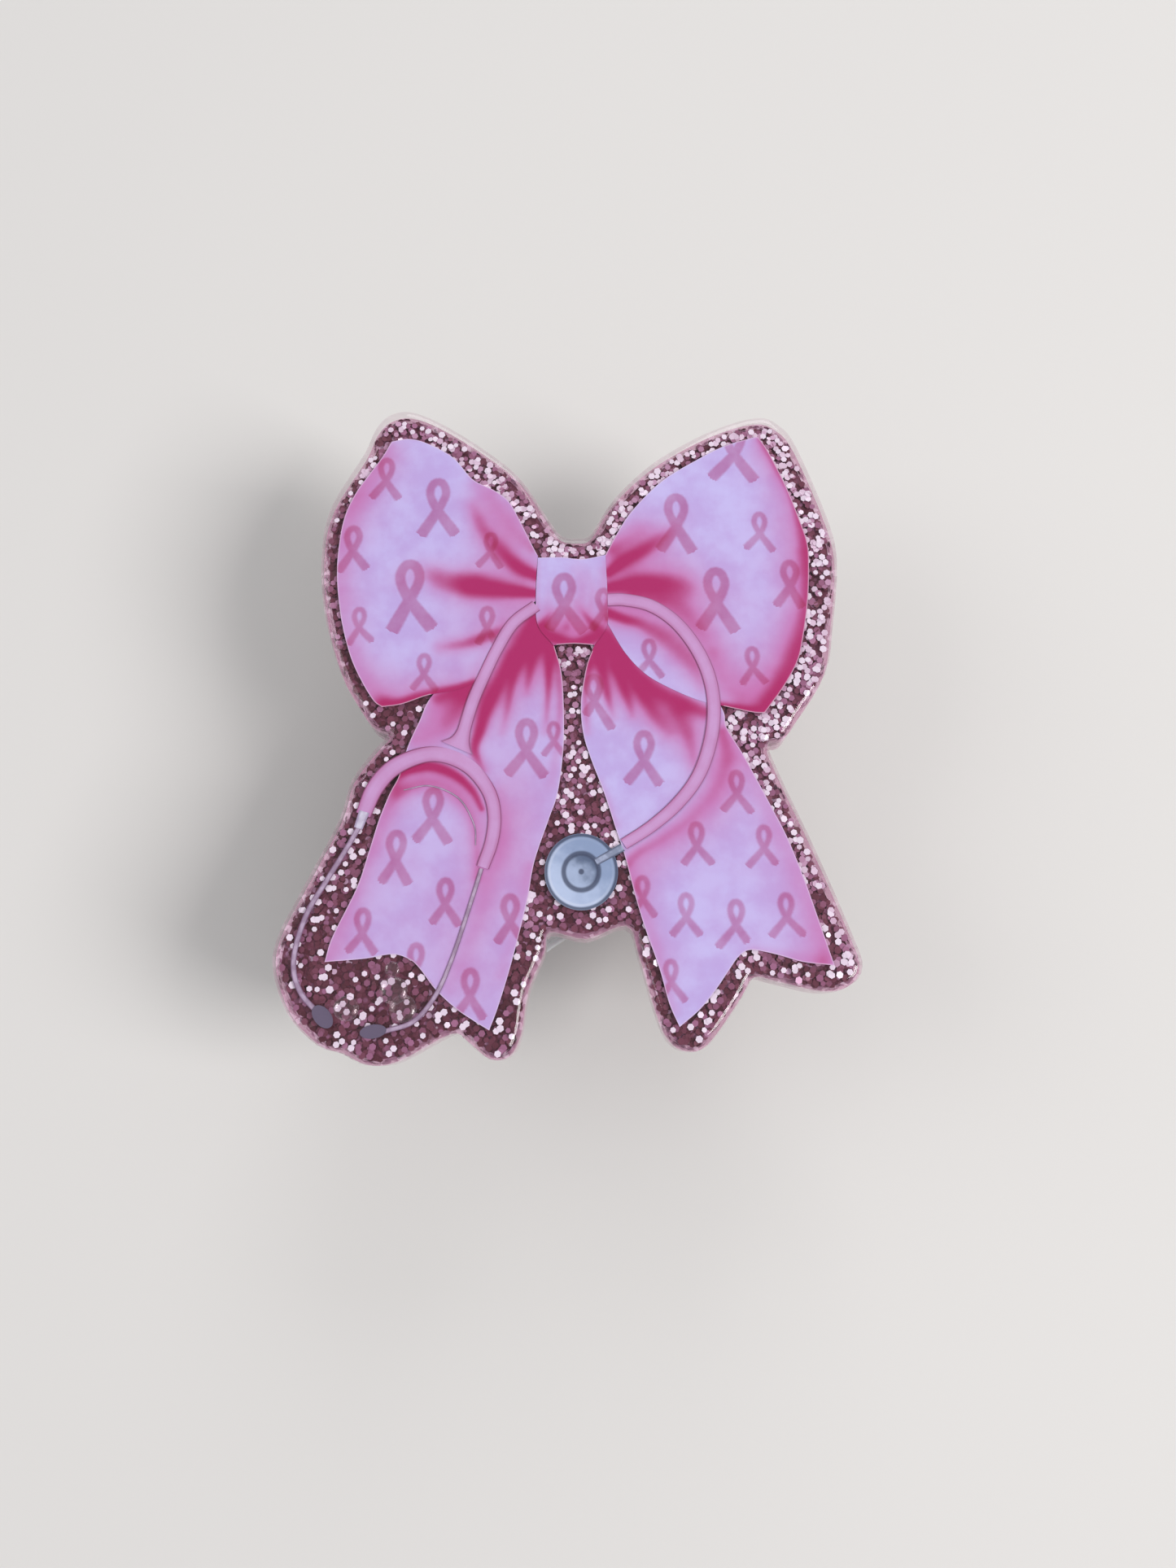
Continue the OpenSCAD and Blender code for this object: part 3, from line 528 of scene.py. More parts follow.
class Shader:
    """A material while its nodes are being written."""

    def __init__(self, name):
        self.material = bpy.data.materials.new(name)
        self.material.use_nodes = True
        self.tree = self.material.node_tree
        self.tree.nodes.clear()

    def node(self, kind, settings=None, inputs=None):
        """Adds a node of a kind, sets its settings first, then gives its sockets values or links."""
        made = self.tree.nodes.new("ShaderNode" + kind)
        for name, value in (settings or {}).items():
            if name == "stops":
                self.stops(made.color_ramp, value)
            else:
                setattr(made, name, value)
        for name, value in (inputs or {}).items():
            self.feed(named(made.inputs, name), value)
        return Outputs(self, made)

    def feed(self, target, value):
        if isinstance(value, Socket):
            self.tree.links.new(value.output, target)
        elif target.type == "RGBA" and len(value) == 3:
            target.default_value = (*value, 1)
        else:
            target.default_value = value

    @staticmethod
    def stops(ramp, stops):
        while len(ramp.elements) < len(stops):
            ramp.elements.new(1)
        for element, (place, colour) in zip(ramp.elements, stops):
            element.position = place
            element.color = (*colour, 1)

    def math(self, operation, *values):
        return self.node("Math", {"operation": operation}, dict(enumerate(values)))["Value"]

    def mix(self, factor, first, second, blend="MIX"):
        """Colour mix of first and second."""
        return self.node(
            "Mix", {"data_type": "RGBA", "blend_type": blend},
            {"Factor_Float": factor, "A_Color": first, "B_Color": second})["Result_Color"]

    def attribute(self, name):
        return self.node("Attribute", {"attribute_name": name})["Fac"]

    def place(self):
        return self.node("TexCoord")["Object"]

    def noise(self, scale, detail=3.0, rough=0.55):
        return self.node("TexNoise", {}, {
            "Vector": self.place(), "Scale": scale, "Detail": detail, "Roughness": rough})["Fac"]

    def bump(self, height, strength, distance):
        return self.node("Bump", {}, {
            "Height": height, "Strength": strength, "Distance": distance})["Normal"]

    def surface(self, **sockets):
        """A Principled surface; a keyword's underscores stand for spaces."""
        inputs = {name.replace("_", " "): value for name, value in sockets.items()}
        return self.node("BsdfPrincipled", {}, inputs)["BSDF"]

    def clear(self, colour):
        """A surface that light goes straight through, taking on a colour."""
        return self.node("BsdfTransparent", {}, {"Color": colour})["BSDF"]

    def layered(self, share, under, over):
        """Two surfaces in one, by the share of the one over."""
        return self.node("MixShader", {}, {0: share, 1: under, 2: over})["Shader"]

    def slant(self):
        """0 where a surface faces the eye and 1 where it is edge on."""
        return self.node("LayerWeight", {}, {"Blend": 0.5})["Facing"]

    def done(self, closure):
        self.node("OutputMaterial", {}, {"Surface": closure})
        return self.material


def clear_finish(name, tint, sheen=0.035, rough=0.03, power=5):
    """Clear plastic that light goes straight through: it mirrors a little, and more at a slant.

    The share mirrored is sheen + (1 - sheen) * slant ** power, where slant is 1 - cos(angle).
    """
    s = Shader(name)
    share = sheen + (1 - sheen) * s.slant() ** power
    gloss = s.node("BsdfGlossy", {}, {"Color": (1, 1, 1), "Roughness": rough})["BSDF"]
    return s.done(s.layered(share, s.clear(tint), gloss))


def rim_finish(look):
    """Clear acrylic at the plate's edge: pale pink with a little body, and flecked."""
    s = Shader("acrylic rim")
    cells = s.node("TexVoronoi", {"feature": "F1"}, {"Vector": s.place(), "Scale": 1700.0})
    fleck = s.node("SeparateColor", {}, {"Color": cells["Color"]})["Red"].rise(0.7, 0.95)
    body = s.surface(Base_Color=s.mix(fleck * 0.6, look.wall, paint(0.97, 0.88, 0.95)),
                     Roughness=0.3)
    return s.done(s.layered(look.body + fleck * 0.3, s.clear(look.tint), body))


def print_finish(look):
    """Printed ribbon: plain paper, washed pink as blush rises and deep rose as fold rises."""
    s = Shader("printed ribbon")
    uneven = (s.noise(260, 4) - 0.5) * 0.24
    fold = s.attribute("fold") + uneven
    blush = s.attribute("blush") + uneven
    loop = s.attribute("loop")
    edge = s.attribute("edge")
    wash = s.noise(330, 4)
    grain = s.noise(5200, 2)
    paper = s.mix(wash.rise(0.3, 0.7), look.paper, paint(0.77, 0.70, 0.925))
    blushed = s.mix(blush.rise(-0.04, 0.98), paper, look.blush)
    folded = s.mix(fold.rise(0.36, 0.92), blushed, look.shade)
    frayed = loop + (grain - 0.5) * 0.12
    inked = s.mix(frayed.below(0, 0.16) * (0.5 + wash * 0.45), folded, look.motif, "MULTIPLY")
    bordered = s.mix(edge.below(0.08, 0.06) * 0.5, inked, paint(0.93, 0.86, 0.95))
    return s.done(s.surface(Base_Color=bordered, Roughness=0.5 + grain * 0.1,
                            Specular_IOR_Level=0.3))


def tube_finish(look):
    """Printed tube: across runs from -1 to 1, and ink is how strongly its two edges are drawn."""
    s = Shader("printed tube")
    reach = s.math("ABSOLUTE", s.attribute("across"))
    wash = s.noise(420, 4)
    grain = s.noise(5200, 2)
    ink = s.attribute("ink")
    body = s.mix(wash.rise(0.25, 0.75) * 0.45, look.tube, paint(0.78, 0.54, 0.75))
    shaded = s.mix(reach.rise(0.25, 1.0) * ink * 0.6, body, paint(0.71, 0.38, 0.60))
    lined = s.mix(reach.rise(0.82, 0.96) * ink * 0.75, shaded, paint(0.48, 0.16, 0.34))
    return s.done(s.surface(Base_Color=lined, Roughness=0.5 + grain * 0.1,
                            Specular_IOR_Level=0.3))


def wire_finish(name, pale, dark):
    """Printed thin metal tube: a pale middle between two darker lines."""
    s = Shader(name)
    reach = s.math("ABSOLUTE", s.attribute("across"))
    wash = s.noise(900, 3)
    core = s.mix(wash.rise(0.35, 0.65) * 0.5, paint(*pale), paint(*dark))
    lined = s.mix(reach.rise(0.4, 0.9) * 0.8, core, paint(*dark))
    return s.done(s.surface(Base_Color=lined, Roughness=0.5, Specular_IOR_Level=0.3))


def disc_finish(look):
    """Printed chest piece: ring is the share of the radius and sheen goes round the disc."""
    s = Shader("printed chest piece")
    ring = s.attribute("ring")
    sheen = s.attribute("sheen")
    wash = s.noise(700, 3)
    line = paint(0.24, 0.28, 0.38)
    cloudy = sheen + (wash - 0.5) * 0.6
    body = s.mix(cloudy.rise(0.2, 0.9), look.disc, paint(0.75, 0.83, 0.94))
    hub = s.mix(cloudy.rise(0.25, 0.7), paint(0.36, 0.43, 0.54), paint(0.68, 0.76, 0.87))
    filled = s.mix(ring.below(0.47, 0.03), body, hub)
    ring_line = 1 - s.math("ABSOLUTE", ring - 0.48).rise(0.03, 0.1)
    rim_line = 1 - s.math("ABSOLUTE", ring - 0.96).rise(0.015, 0.07)
    shine_line = 1 - s.math("ABSOLUTE", ring - 0.87).rise(0.01, 0.05)
    dot = ring.below(0.075, 0.025)
    shone = s.mix(shine_line * sheen * 0.5, filled, paint(0.86, 0.91, 0.97))
    inked = s.mix(ring_line.most(rim_line).most(dot) * 0.85, shone, line)
    return s.done(s.surface(Base_Color=inked, Roughness=0.45, Specular_IOR_Level=0.3))


def flake_finish(look):
    """Glitter flakes: shade picks a flake's colour, from turned away to catching the light."""
    s = Shader("glitter flakes")
    shade = s.attribute("shade")
    colour = s.node("ValToRGB", {"stops": [
        (0.0, look.dark), (0.42, paint(0.48, 0.25, 0.33)), (0.68, look.middle),
        (0.8, paint(0.83, 0.66, 0.78)), (0.87, look.bright)]}, {"Fac": shade})["Color"]
    return s.done(s.surface(Base_Color=colour, Metallic=0.15, Roughness=0.3))


def glitter_finish(look):
    """Glitter deep in the acrylic: cells a flake wide, each painted from turned away to catching the
    light.
    """
    s = Shader("glitter acrylic")
    cells = s.node("TexVoronoi", {"feature": "F1"}, {
        "Vector": s.place(), "Scale": 1 / look.flake, "Randomness": 0.95})
    near = cells["Distance"]
    pick = s.node("SeparateColor", {}, {"Color": cells["Color"]})
    # Painted glints: each cell's random shade picks a colour from dark, turned away, to bright,
    # catching the light.
    painted_glint = pick["Red"] * 0.85 + (s.noise(300, 2) - 0.5) * 0.3
    ground = s.mix(s.noise(900, 3).rise(0.3, 0.7), paint(0.36, 0.14, 0.21),
                   paint(0.52, 0.27, 0.37))
    flake = s.node("ValToRGB", {"stops": [
        (0.0, look.dark), (0.5, look.middle), (0.8, paint(0.88, 0.70, 0.83)),
        (0.92, look.bright)]}, {"Fac": painted_glint})["Color"]
    colour = s.mix(near.below(0.42, 0.06), ground, flake)
    lean = s.bump(near + pick["Green"] * 0.5, 0.6, 0.15 * MM)
    return s.done(s.surface(Base_Color=colour, Metallic=0.25, Roughness=0.35, Normal=lean))


def plastic_finish(name, colour, rough=0.32):
    """Moulded plastic: a faint orange-peel surface and slightly uneven gloss."""
    s = Shader(name)
    cloud = s.noise(350, 3)
    skin = s.noise(9000, 2)
    toned = s.mix(cloud.rise(0.3, 0.7) * 0.35, colour, darker(colour, 0.9))
    return s.done(s.surface(
        Base_Color=toned, Roughness=rough + (cloud - 0.5) * 0.12 + skin * 0.04,
        Normal=s.bump(skin, 0.25, 0.02 * MM)))


def metal_finish(name, colour, rough, brushed=False):
    """Plated metal with a fine grain, and darker in cloudy patches at random."""
    s = Shader(name)
    cloud = s.noise(500, 4)
    grain = s.noise(6000, 3)
    if brushed:
        stretched = s.node("Mapping", {}, {"Vector": s.place(), "Scale": (9000, 500, 500)})
        grain = s.node("TexNoise", {}, {
            "Vector": stretched["Vector"], "Scale": 1, "Detail": 3.0})["Fac"]
    toned = s.mix(cloud.rise(0.35, 0.75) * 0.5, colour, darker(colour, 0.8))
    return s.done(s.surface(
        Base_Color=toned, Metallic=1, Roughness=rough + (grain - 0.5) * 0.18 + cloud * 0.06,
        Normal=s.bump(grain, 0.2, 0.02 * MM)))


def cord_finish(name, colour, height):
    """Braided cord: two sets of slanting strands, as sines of the length and the way round.

    height is that of the cord's middle.
    """
    s = Shader(name)
    where = s.node("SeparateXYZ", {}, {"Vector": s.place()})
    turn = s.math("ARCTAN2", where["Z"] - height, where["X"])
    run = where["Y"] * (2 * math.pi / (0.9 * MM))
    one = s.math("SINE", run + turn * 3)
    two = s.math("SINE", run - turn * 3)
    weave = s.math("MAXIMUM", one, two) * 0.5 + 0.5
    # Painted shade: the braid is darker in the grooves between its strands, where the weave is low.
    toned = s.mix(weave, darker(colour, 0.62), colour)
    return s.done(s.surface(Base_Color=toned, Roughness=0.7,
                            Normal=s.bump(weave, 0.8, 0.06 * MM)))


def foam_finish():
    """Foam tape: a fine closed-cell surface."""
    s = Shader("foam tape")
    cells = s.node("TexVoronoi", {"feature": "F1"}, {
        "Vector": s.place(), "Scale": 4500.0})["Distance"]
    # Painted shade: each foam cell is darker in its pit, where the bump is low.
    toned = s.mix(cells.rise(0.1, 0.6), paint(0.80, 0.80, 0.77), paint(0.93, 0.93, 0.91))
    return s.done(s.surface(Base_Color=toned, Roughness=0.85,
                            Normal=s.bump(cells, 0.5, 0.05 * MM)))


def vinyl_finish(colour):
    """Clear soft vinyl: see-through, with a milky bloom that thickens towards its edges."""
    s = Shader("clear vinyl")
    edge = s.attribute("edge")
    bloom = 0.16 + 0.5 * edge.rise(0.72, 1.0) + 0.3 * s.slant() ** 3
    haze = s.surface(Base_Color=s.mix(s.noise(600, 3).rise(0.3, 0.7), colour,
                                      darker(colour, 0.92)),
                     Roughness=0.28 + s.noise(1500, 3) * 0.1)
    return s.done(s.layered(bloom, s.clear((0.96, 0.975, 0.985)), haze))


# ------------------------------------------------------------------------------ mesh helpers

def put_mesh(name, points, faces, material, attributes=None, smooth=True):
    """A mesh object from an array of points and one or more arrays of equally sided faces."""
    groups = [faces] if isinstance(faces, np.ndarray) else faces
    mesh = bpy.data.meshes.new(name)
    mesh.vertices.add(len(points))
    mesh.vertices.foreach_set("co", np.asarray(points, np.float32).ravel())
    corners = np.concatenate([np.asarray(g).ravel() for g in groups])
    sides = np.concatenate([np.full(len(g), g.shape[1]) for g in groups])
    mesh.loops.add(len(corners))
    mesh.loops.foreach_set("vertex_index", corners.astype(np.int32))
    mesh.polygons.add(len(sides))
    mesh.polygons.foreach_set("loop_start", (np.cumsum(sides) - sides).astype(np.int32))
    mesh.polygons.foreach_set("use_smooth", np.full(len(sides), smooth))
    mesh.update(calc_edges=True)
    mesh.validate()
    for key, (domain, values) in (attributes or {}).items():
        layer = mesh.attributes.new(key, "FLOAT", domain)
        layer.data.foreach_set("value", np.asarray(values, np.float32).ravel())
    mesh.materials.append(material)
    made = bpy.data.objects.new(name, mesh)
    bpy.context.scene.collection.objects.link(made)
    return made


def grid_faces(rows, columns, wrap=False):
    """Quads of a grid of rows by columns; wrap joins the last column to the first."""
    across = columns if wrap else columns - 1
    i = np.arange(rows - 1)[:, None] * columns
    j = np.arange(across)[None, :]
    k = (j + 1) % columns
    return np.stack([i + j, i + k, i + columns + k, i + columns + j], -1).reshape(-1, 4)


def unit(rows):
    """Each row at a length of 1."""
    return rows / np.linalg.norm(rows, axis=1, keepdims=True)


def end_caps(rings, sides):
    """A face over the first ring and one over the last."""
    last = (rings - 1) * sides
    return [np.arange(sides)[::-1][None], last + np.arange(sides)[None]]


def curve_through(points, count):
    """Smooth curve through points, at count places an even distance apart.

    Between two points it is the Catmull-Rom cubic, whose slope at each point is half the step
    from the point before to the point after.
    """
    p = np.asarray(points, float)
    p = np.vstack([2 * p[0] - p[1], p, 2 * p[-1] - p[-2]])
    t = np.linspace(0, 1, CURVE_STEPS, endpoint=False)[None, :, None]
    a, b, c, d = (q[:, None, :] for q in (p[:-3], p[1:-2], p[2:-1], p[3:]))
    line = (2 * b + (c - a) * t + (2 * a - 5 * b + 4 * c - d) * t ** 2
            + (3 * b - a - 3 * c + d) * t ** 3) / 2
    line = np.vstack([line.reshape(-1, p.shape[1]), p[-2]])
    run = np.concatenate([[0], np.cumsum(np.linalg.norm(np.diff(line[:, :2], axis=0), axis=1))])
    want = np.linspace(0, run[-1], count)
    return np.stack([np.interp(want, run, column) for column in line.T], -1)


def coons(edges, across, up):
    """Patch between four edges: the two ruled surfaces added, less the flat one of the corners."""
    bottom, top = (curve_through(edges[k], across)[:, None] for k in ("bottom", "top"))
    left, right = (curve_through(edges[k], up)[None] for k in ("left", "right"))
    u = np.linspace(0, 1, across)[:, None, None]
    v = np.linspace(0, 1, up)[None, :, None]
    corners = ((1 - u) * (1 - v) * bottom[0] + u * (1 - v) * bottom[-1]
               + (1 - u) * v * top[0] + u * v * top[-1])
    return (1 - v) * bottom + v * top + (1 - u) * left + u * right - corners


def nearest(points, line, skip=()):
    """Distance from each point to a line of straight steps, and where along the line it is.

    Steps of the line marked in skip are left out.
    """
    start, step = line[:-1], np.diff(line, axis=0)
    offset = points[:, None] - start
    share = (offset * step).sum(-1) / np.maximum((step * step).sum(-1), 1e-12)
    share = np.clip(share, 0, 1)
    gap = np.linalg.norm(offset - share[..., None] * step, axis=-1)
    gap[:, np.flatnonzero(skip)] = np.inf
    best = gap.argmin(1)
    rows = np.arange(len(points))
    return gap[rows, best], best + share[rows, best]


def fold_depth(points, folds):
    """How deep in a fold each point is: 1 less the product of (1 - strength * bell) over folds.

    The bell is 0.8 exp(-(gap/w)^2) + 0.2 exp(-(gap/2.4w)^2), where w is 1.2 times the
    width drawn, so each fold has a soft halo.
    """
    clear = np.ones(len(points))
    for fold in folds:
        line = curve_through(fold, 6 * len(fold))
        gap, along = nearest(points, line[:, :2])
        steps = np.arange(len(line))
        width = np.interp(along, steps, line[:, 2])
        strength = np.interp(along, steps, line[:, 3])
        far = (gap / (1.2 * width)) ** 2
        clear *= 1 - strength * (0.8 * np.exp(-far) + 0.2 * np.exp(-far / 5.8))
    return 1 - clear


def loop_line(x, top, left_x, left_y, right_x, right_y):
    """A small crossed ribbon: up one leg, round the loop, and down the other leg."""
    tall = top - (left_y + right_y) / 2
    cross_y = top - 0.57 * tall
    cross_x = x + 0.12 * ((left_x + right_x) / 2 - x)
    wide = 0.125 * tall
    return curve_through([
        (left_x, left_y), (cross_x, cross_y), (x + wide, top - 0.3 * tall),
        (x + 0.72 * wide, top - 0.12 * tall), (x, top - 0.065 * tall),
        (x - 0.72 * wide, top - 0.12 * tall), (x - wide, top - 0.3 * tall),
        (cross_x, cross_y), (right_x, right_y)], LOOP_STEPS)


def loop_gap(points, loops):
    """Distance to the edge of the nearest small ribbon, below 0 inside it.

    A ribbon widens along its legs, and its ends are cut square: past them the gap isn't reduced.
    """
    last = LOOP_STEPS - 1
    best = np.full(len(points), FAR_GAP_MM)
    for loop in loops:
        tall = loop[1] - (loop[3] + loop[5]) / 2
        near = ((np.abs(points[:, 0] - loop[0]) < 0.6 * tall)
                & (np.abs(points[:, 1] - loop[1] + tall / 2) < 0.8 * tall))
        if near.any():
            gap, along = nearest(points[near], loop_line(*loop))
            leg = np.abs(along - last / 2) / (last / 2)
            half = tall * (0.068 + 0.024 * np.clip(leg * 2 - 0.7, 0, 1))
            beyond = (along <= 0) | (along >= last)
            best[near] = np.minimum(best[near], np.where(beyond, gap, gap - half))
    return best


def outline_of(node):
    """Closed outline of an upright extruded part: the edges of its top face that only one
    triangle uses, followed round by doubling the length of each jump."""
    mesh = frame["nodes"][node].data
    mesh.calc_loop_triangles()
    co = np.zeros(len(mesh.vertices) * 3, np.float32)
    mesh.vertices.foreach_get("co", co)
    co = co.reshape(-1, 3).astype(float)
    tri = np.zeros(len(mesh.loop_triangles) * 3, np.int32)
    mesh.loop_triangles.foreach_get("vertices", tri)
    tri = tri.reshape(-1, 3)
    top = co[:, 2] > co[:, 2].max() - 1e-6
    flat, merged = np.unique(np.round(co[:, :2] * 1e6).astype(np.int64), axis=0,
                             return_inverse=True)
    tri = merged.ravel()[tri[top[tri].all(1)]]
    edge = np.concatenate([tri[:, [0, 1]], tri[:, [1, 2]], tri[:, [2, 0]]])
    count = len(flat)
    forward = edge[:, 0] * count + edge[:, 1]
    back = edge[:, 1] * count + edge[:, 0]
    rim = edge[~np.isin(forward, back)]
    jump = np.arange(count)
    jump[rim[:, 0]] = rim[:, 1]
    order = rim[:1, 0]
    while len(order) < len(rim):
        order = np.concatenate([order, jump[order]])
        jump = jump[jump]
    return flat[order[:len(rim)]] * 1e-6


def shrink(outline, inset):
    """An outline moved in by inset along its own normals, the outline running round to the left."""
    way = unit(np.roll(outline, -1, 0) - np.roll(outline, 1, 0))
    return outline + inset * np.stack([-way[:, 1], way[:, 0]], -1)


def stacked(outline, profile):
    """Rings of the outline, one for each (inset, height) in profile, as an array of points."""
    rings = [np.column_stack([shrink(outline, inset), np.full(len(outline), z)])
             for inset, z in profile]
    return np.concatenate(rings)


def prism(name, outline, profile, material):
    """Closed body whose wall follows profile from its bottom face to its top face."""
    n = len(outline)
    points = stacked(outline, profile)
    wall = grid_faces(len(profile), n, wrap=True)
    made = put_mesh(name, points, [wall, *end_caps(len(profile), n)], material)
    made.data.set_sharp_from_angle(angle=SHARP_WALL)
    return made


def ring_band(name, outline, outer, inner, low, high, material):
    """Closed band that follows an outline between two insets and two heights."""
    n = len(outline)
    points = stacked(outline, [(outer, low), (outer, high), (inner, high), (inner, low)])
    faces = grid_faces(5, n, wrap=True) % (4 * n)
    made = put_mesh(name, points, faces, material)
    made.data.set_sharp_from_angle(angle=SHARP_WALL)
    return made


def inside(points, outline):
    """Whether each point is inside a closed outline: odd crossings of a line to its right."""
    a, b = outline, np.roll(outline, -1, 0)
    x, y = points[:, :1], points[:, 1:2]
    spans = (a[:, 1] > y) != (b[:, 1] > y)
    rise = np.where(b[:, 1] == a[:, 1], 1e-12, b[:, 1] - a[:, 1])
    cross_x = a[:, 0] + (y - a[:, 1]) * (b[:, 0] - a[:, 0]) / rise
    return (spans & (x < cross_x)).sum(1) % 2 == 1


def panel_outline(edges):
    """Closed outline of a panel, once round its four edges and always to the left."""
    bottom, top = curve_through(edges["bottom"], 90), curve_through(edges["top"], 90)
    left, right = curve_through(edges["left"], 50), curve_through(edges["right"], 70)
    line = np.vstack([bottom, right[1:], top[-2::-1], left[-2:0:-1]])
    x, y = line.T
    turning = (x * np.roll(y, -1) - y * np.roll(x, -1)).sum()
    return line if turning > 0 else line[::-1]


def hexagons(centres, normals, widths, spin):
    """Six corners for each flake, in the plane square to its normal."""
    helper = np.where(np.abs(normals[:, :1]) < 0.9, [[1.0, 0, 0]], [[0, 1.0, 0]])
    u = unit(np.cross(normals, helper))
    v = np.cross(normals, u)
    angle = spin[:, None] + np.arange(6) * math.pi / 3
    around = (np.cos(angle)[..., None] * u[:, None] + np.sin(angle)[..., None] * v[:, None])
    return centres[:, None] + widths[:, None, None] / 2 * around


def flake_shades(draw, count, painted_light):
    """A shade for each flake from 0, turned away, to 1, catching the light.

    Painted light from the last argument is added to every shade; a tenth of the flakes, more where it
    is high, catch it full on.
    """
    shade = np.clip(0.9 * draw.beta(1.15, 1.5, count) + painted_light, 0, 0.84)
    return np.where(draw.uniform(0, 1, count) < 0.085 + 0.25 * np.maximum(painted_light, 0), 1, shade)


def scatter_flakes(name, centres, facing, draw, look, material, shade):
    """Hexagonal flakes at centres, leaning at random from facing, each with its own shade."""
    count = len(centres)
    normals = unit(facing + draw.normal(0, 0.1, (count, 3)))
    widths = look.flake * draw.uniform(0.75, 1.1, count)
    corners = hexagons(centres, normals, widths, draw.uniform(0, math.pi, count))
    faces = np.arange(6 * count).reshape(-1, 6)
    return put_mesh(name, corners.reshape(-1, 3), faces, material,
                    {"shade": ("FACE", shade)}, smooth=False)


def strip(name, spine, height, material):
    """Flat printed line, in mm: a point is spine + side * across * half width.

    across runs from -1 to 1 in even steps.
    """
    line = curve_through(spine, 12 * len(spine))
    way = unit(np.gradient(line[:, :2], axis=0))
    side = np.stack([way[:, 1], -way[:, 0]], -1)
    across = np.linspace(1, -1, STRIP_COLUMNS)
    flat = line[:, None, :2] + side[:, None] * (across[None, :, None] * line[:, None, 2:3])
    points = np.concatenate([flat, np.full(flat.shape[:2] + (1,), height)], -1)
    return put_mesh(name, points.reshape(-1, 3) * MM, grid_faces(len(line), STRIP_COLUMNS), material, {
        "across": ("POINT", np.broadcast_to(across, flat.shape[:2])),
        "ink": ("POINT", np.where(across > 0, line[:, 3:4], line[:, -1:]))})


def fan(name, centre, radii, turn, height, material, rings=24, spokes=96):
    """Flat printed ellipse, in mm, turned by an angle: rings of spokes about its centre.

    Its attributes are ring, the share of the radius, and sheen, which rises to the lower left.
    """
    share = np.linspace(0.004, 1, rings)[:, None]
    angle = np.arange(spokes)[None] * 2 * math.pi / spokes
    a = share * radii[0] * np.cos(angle)
    b = share * radii[1] * np.sin(angle)
    c, s = math.cos(turn), math.sin(turn)
    points = np.stack([centre[0] + c * a - s * b, centre[1] + s * a + c * b,
                       np.full(a.shape, height)], -1).reshape(-1, 3) * MM
    ring = np.broadcast_to(share, a.shape)
    sheen = 0.5 + 0.5 * share * np.cos(angle - 4.0)
    hub = np.arange(spokes)[None]
    return put_mesh(name, points, [grid_faces(rings, spokes, wrap=True), hub], material,
                    {"ring": ("POINT", ring), "sheen": ("POINT", sheen)})


def swept(path, ring, side):
    """A closed ring carried along a path: ring's first column goes along side, its second along
    the path's own normal."""
    way = unit(np.gradient(path, axis=0))
    up = unit(np.cross(side, way))
    across = np.cross(way, up)
    return (path[:, None] + ring[..., :1] * across[:, None] + ring[..., 1:] * up[:, None])


def tube_mesh(name, points, material, attributes=None):
    """Closed tube from an array of rings, with a flat face at each end."""
    rows, sides = points.shape[:2]
    wall = grid_faces(rows, sides, wrap=True)
    return put_mesh(name, points.reshape(-1, 3), [wall, *end_caps(rows, sides)], material,
                    attributes)


def rounded_copy(node, name, width, material):
    """Copy of a packed part, its loose triangles merged and its edges rounded by width, if any."""
    mesh = frame["nodes"][node].data.copy()
    mesh.name = name
    work = bmesh.new()
    work.from_mesh(mesh)
    bmesh.ops.remove_doubles(work, verts=work.verts, dist=2e-6)
    bmesh.ops.dissolve_limit(work, angle_limit=math.radians(0.8), verts=work.verts,
                             edges=work.edges)
    work.to_mesh(mesh)
    work.free()
    mesh.materials.clear()
    mesh.materials.append(material)
    made = bpy.data.objects.new(name, mesh)
    bpy.context.scene.collection.objects.link(made)
    mesh.polygons.foreach_set("use_smooth", np.full(len(mesh.polygons), True))
    if not width:
        mesh.set_sharp_from_angle(angle=SHARP_EDGE)
        return made
    bevel = made.modifiers.new("Rounded edges", "BEVEL")
    bevel.width = width
    bevel.segments = 3
    bevel.limit_method = "ANGLE"
    bevel.angle_limit = SHARP_EDGE
    bevel.harden_normals = True
    return made


def finish_nodes(material, *nodes):
    """Gives packed parts that stay as they are their material."""
    for node in nodes:
        mesh = frame["nodes"][node].data
        mesh.materials.clear()
        mesh.materials.append(material)


def seat(made, body, slot, *nodes):
    """Puts a finished piece on its body, in place of the packed parts. Its slot argument is not used.
    """
    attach(made, body)
    if nodes:
        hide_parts(*nodes)
    return made


# --------------------------------------------------------------------------------- operators

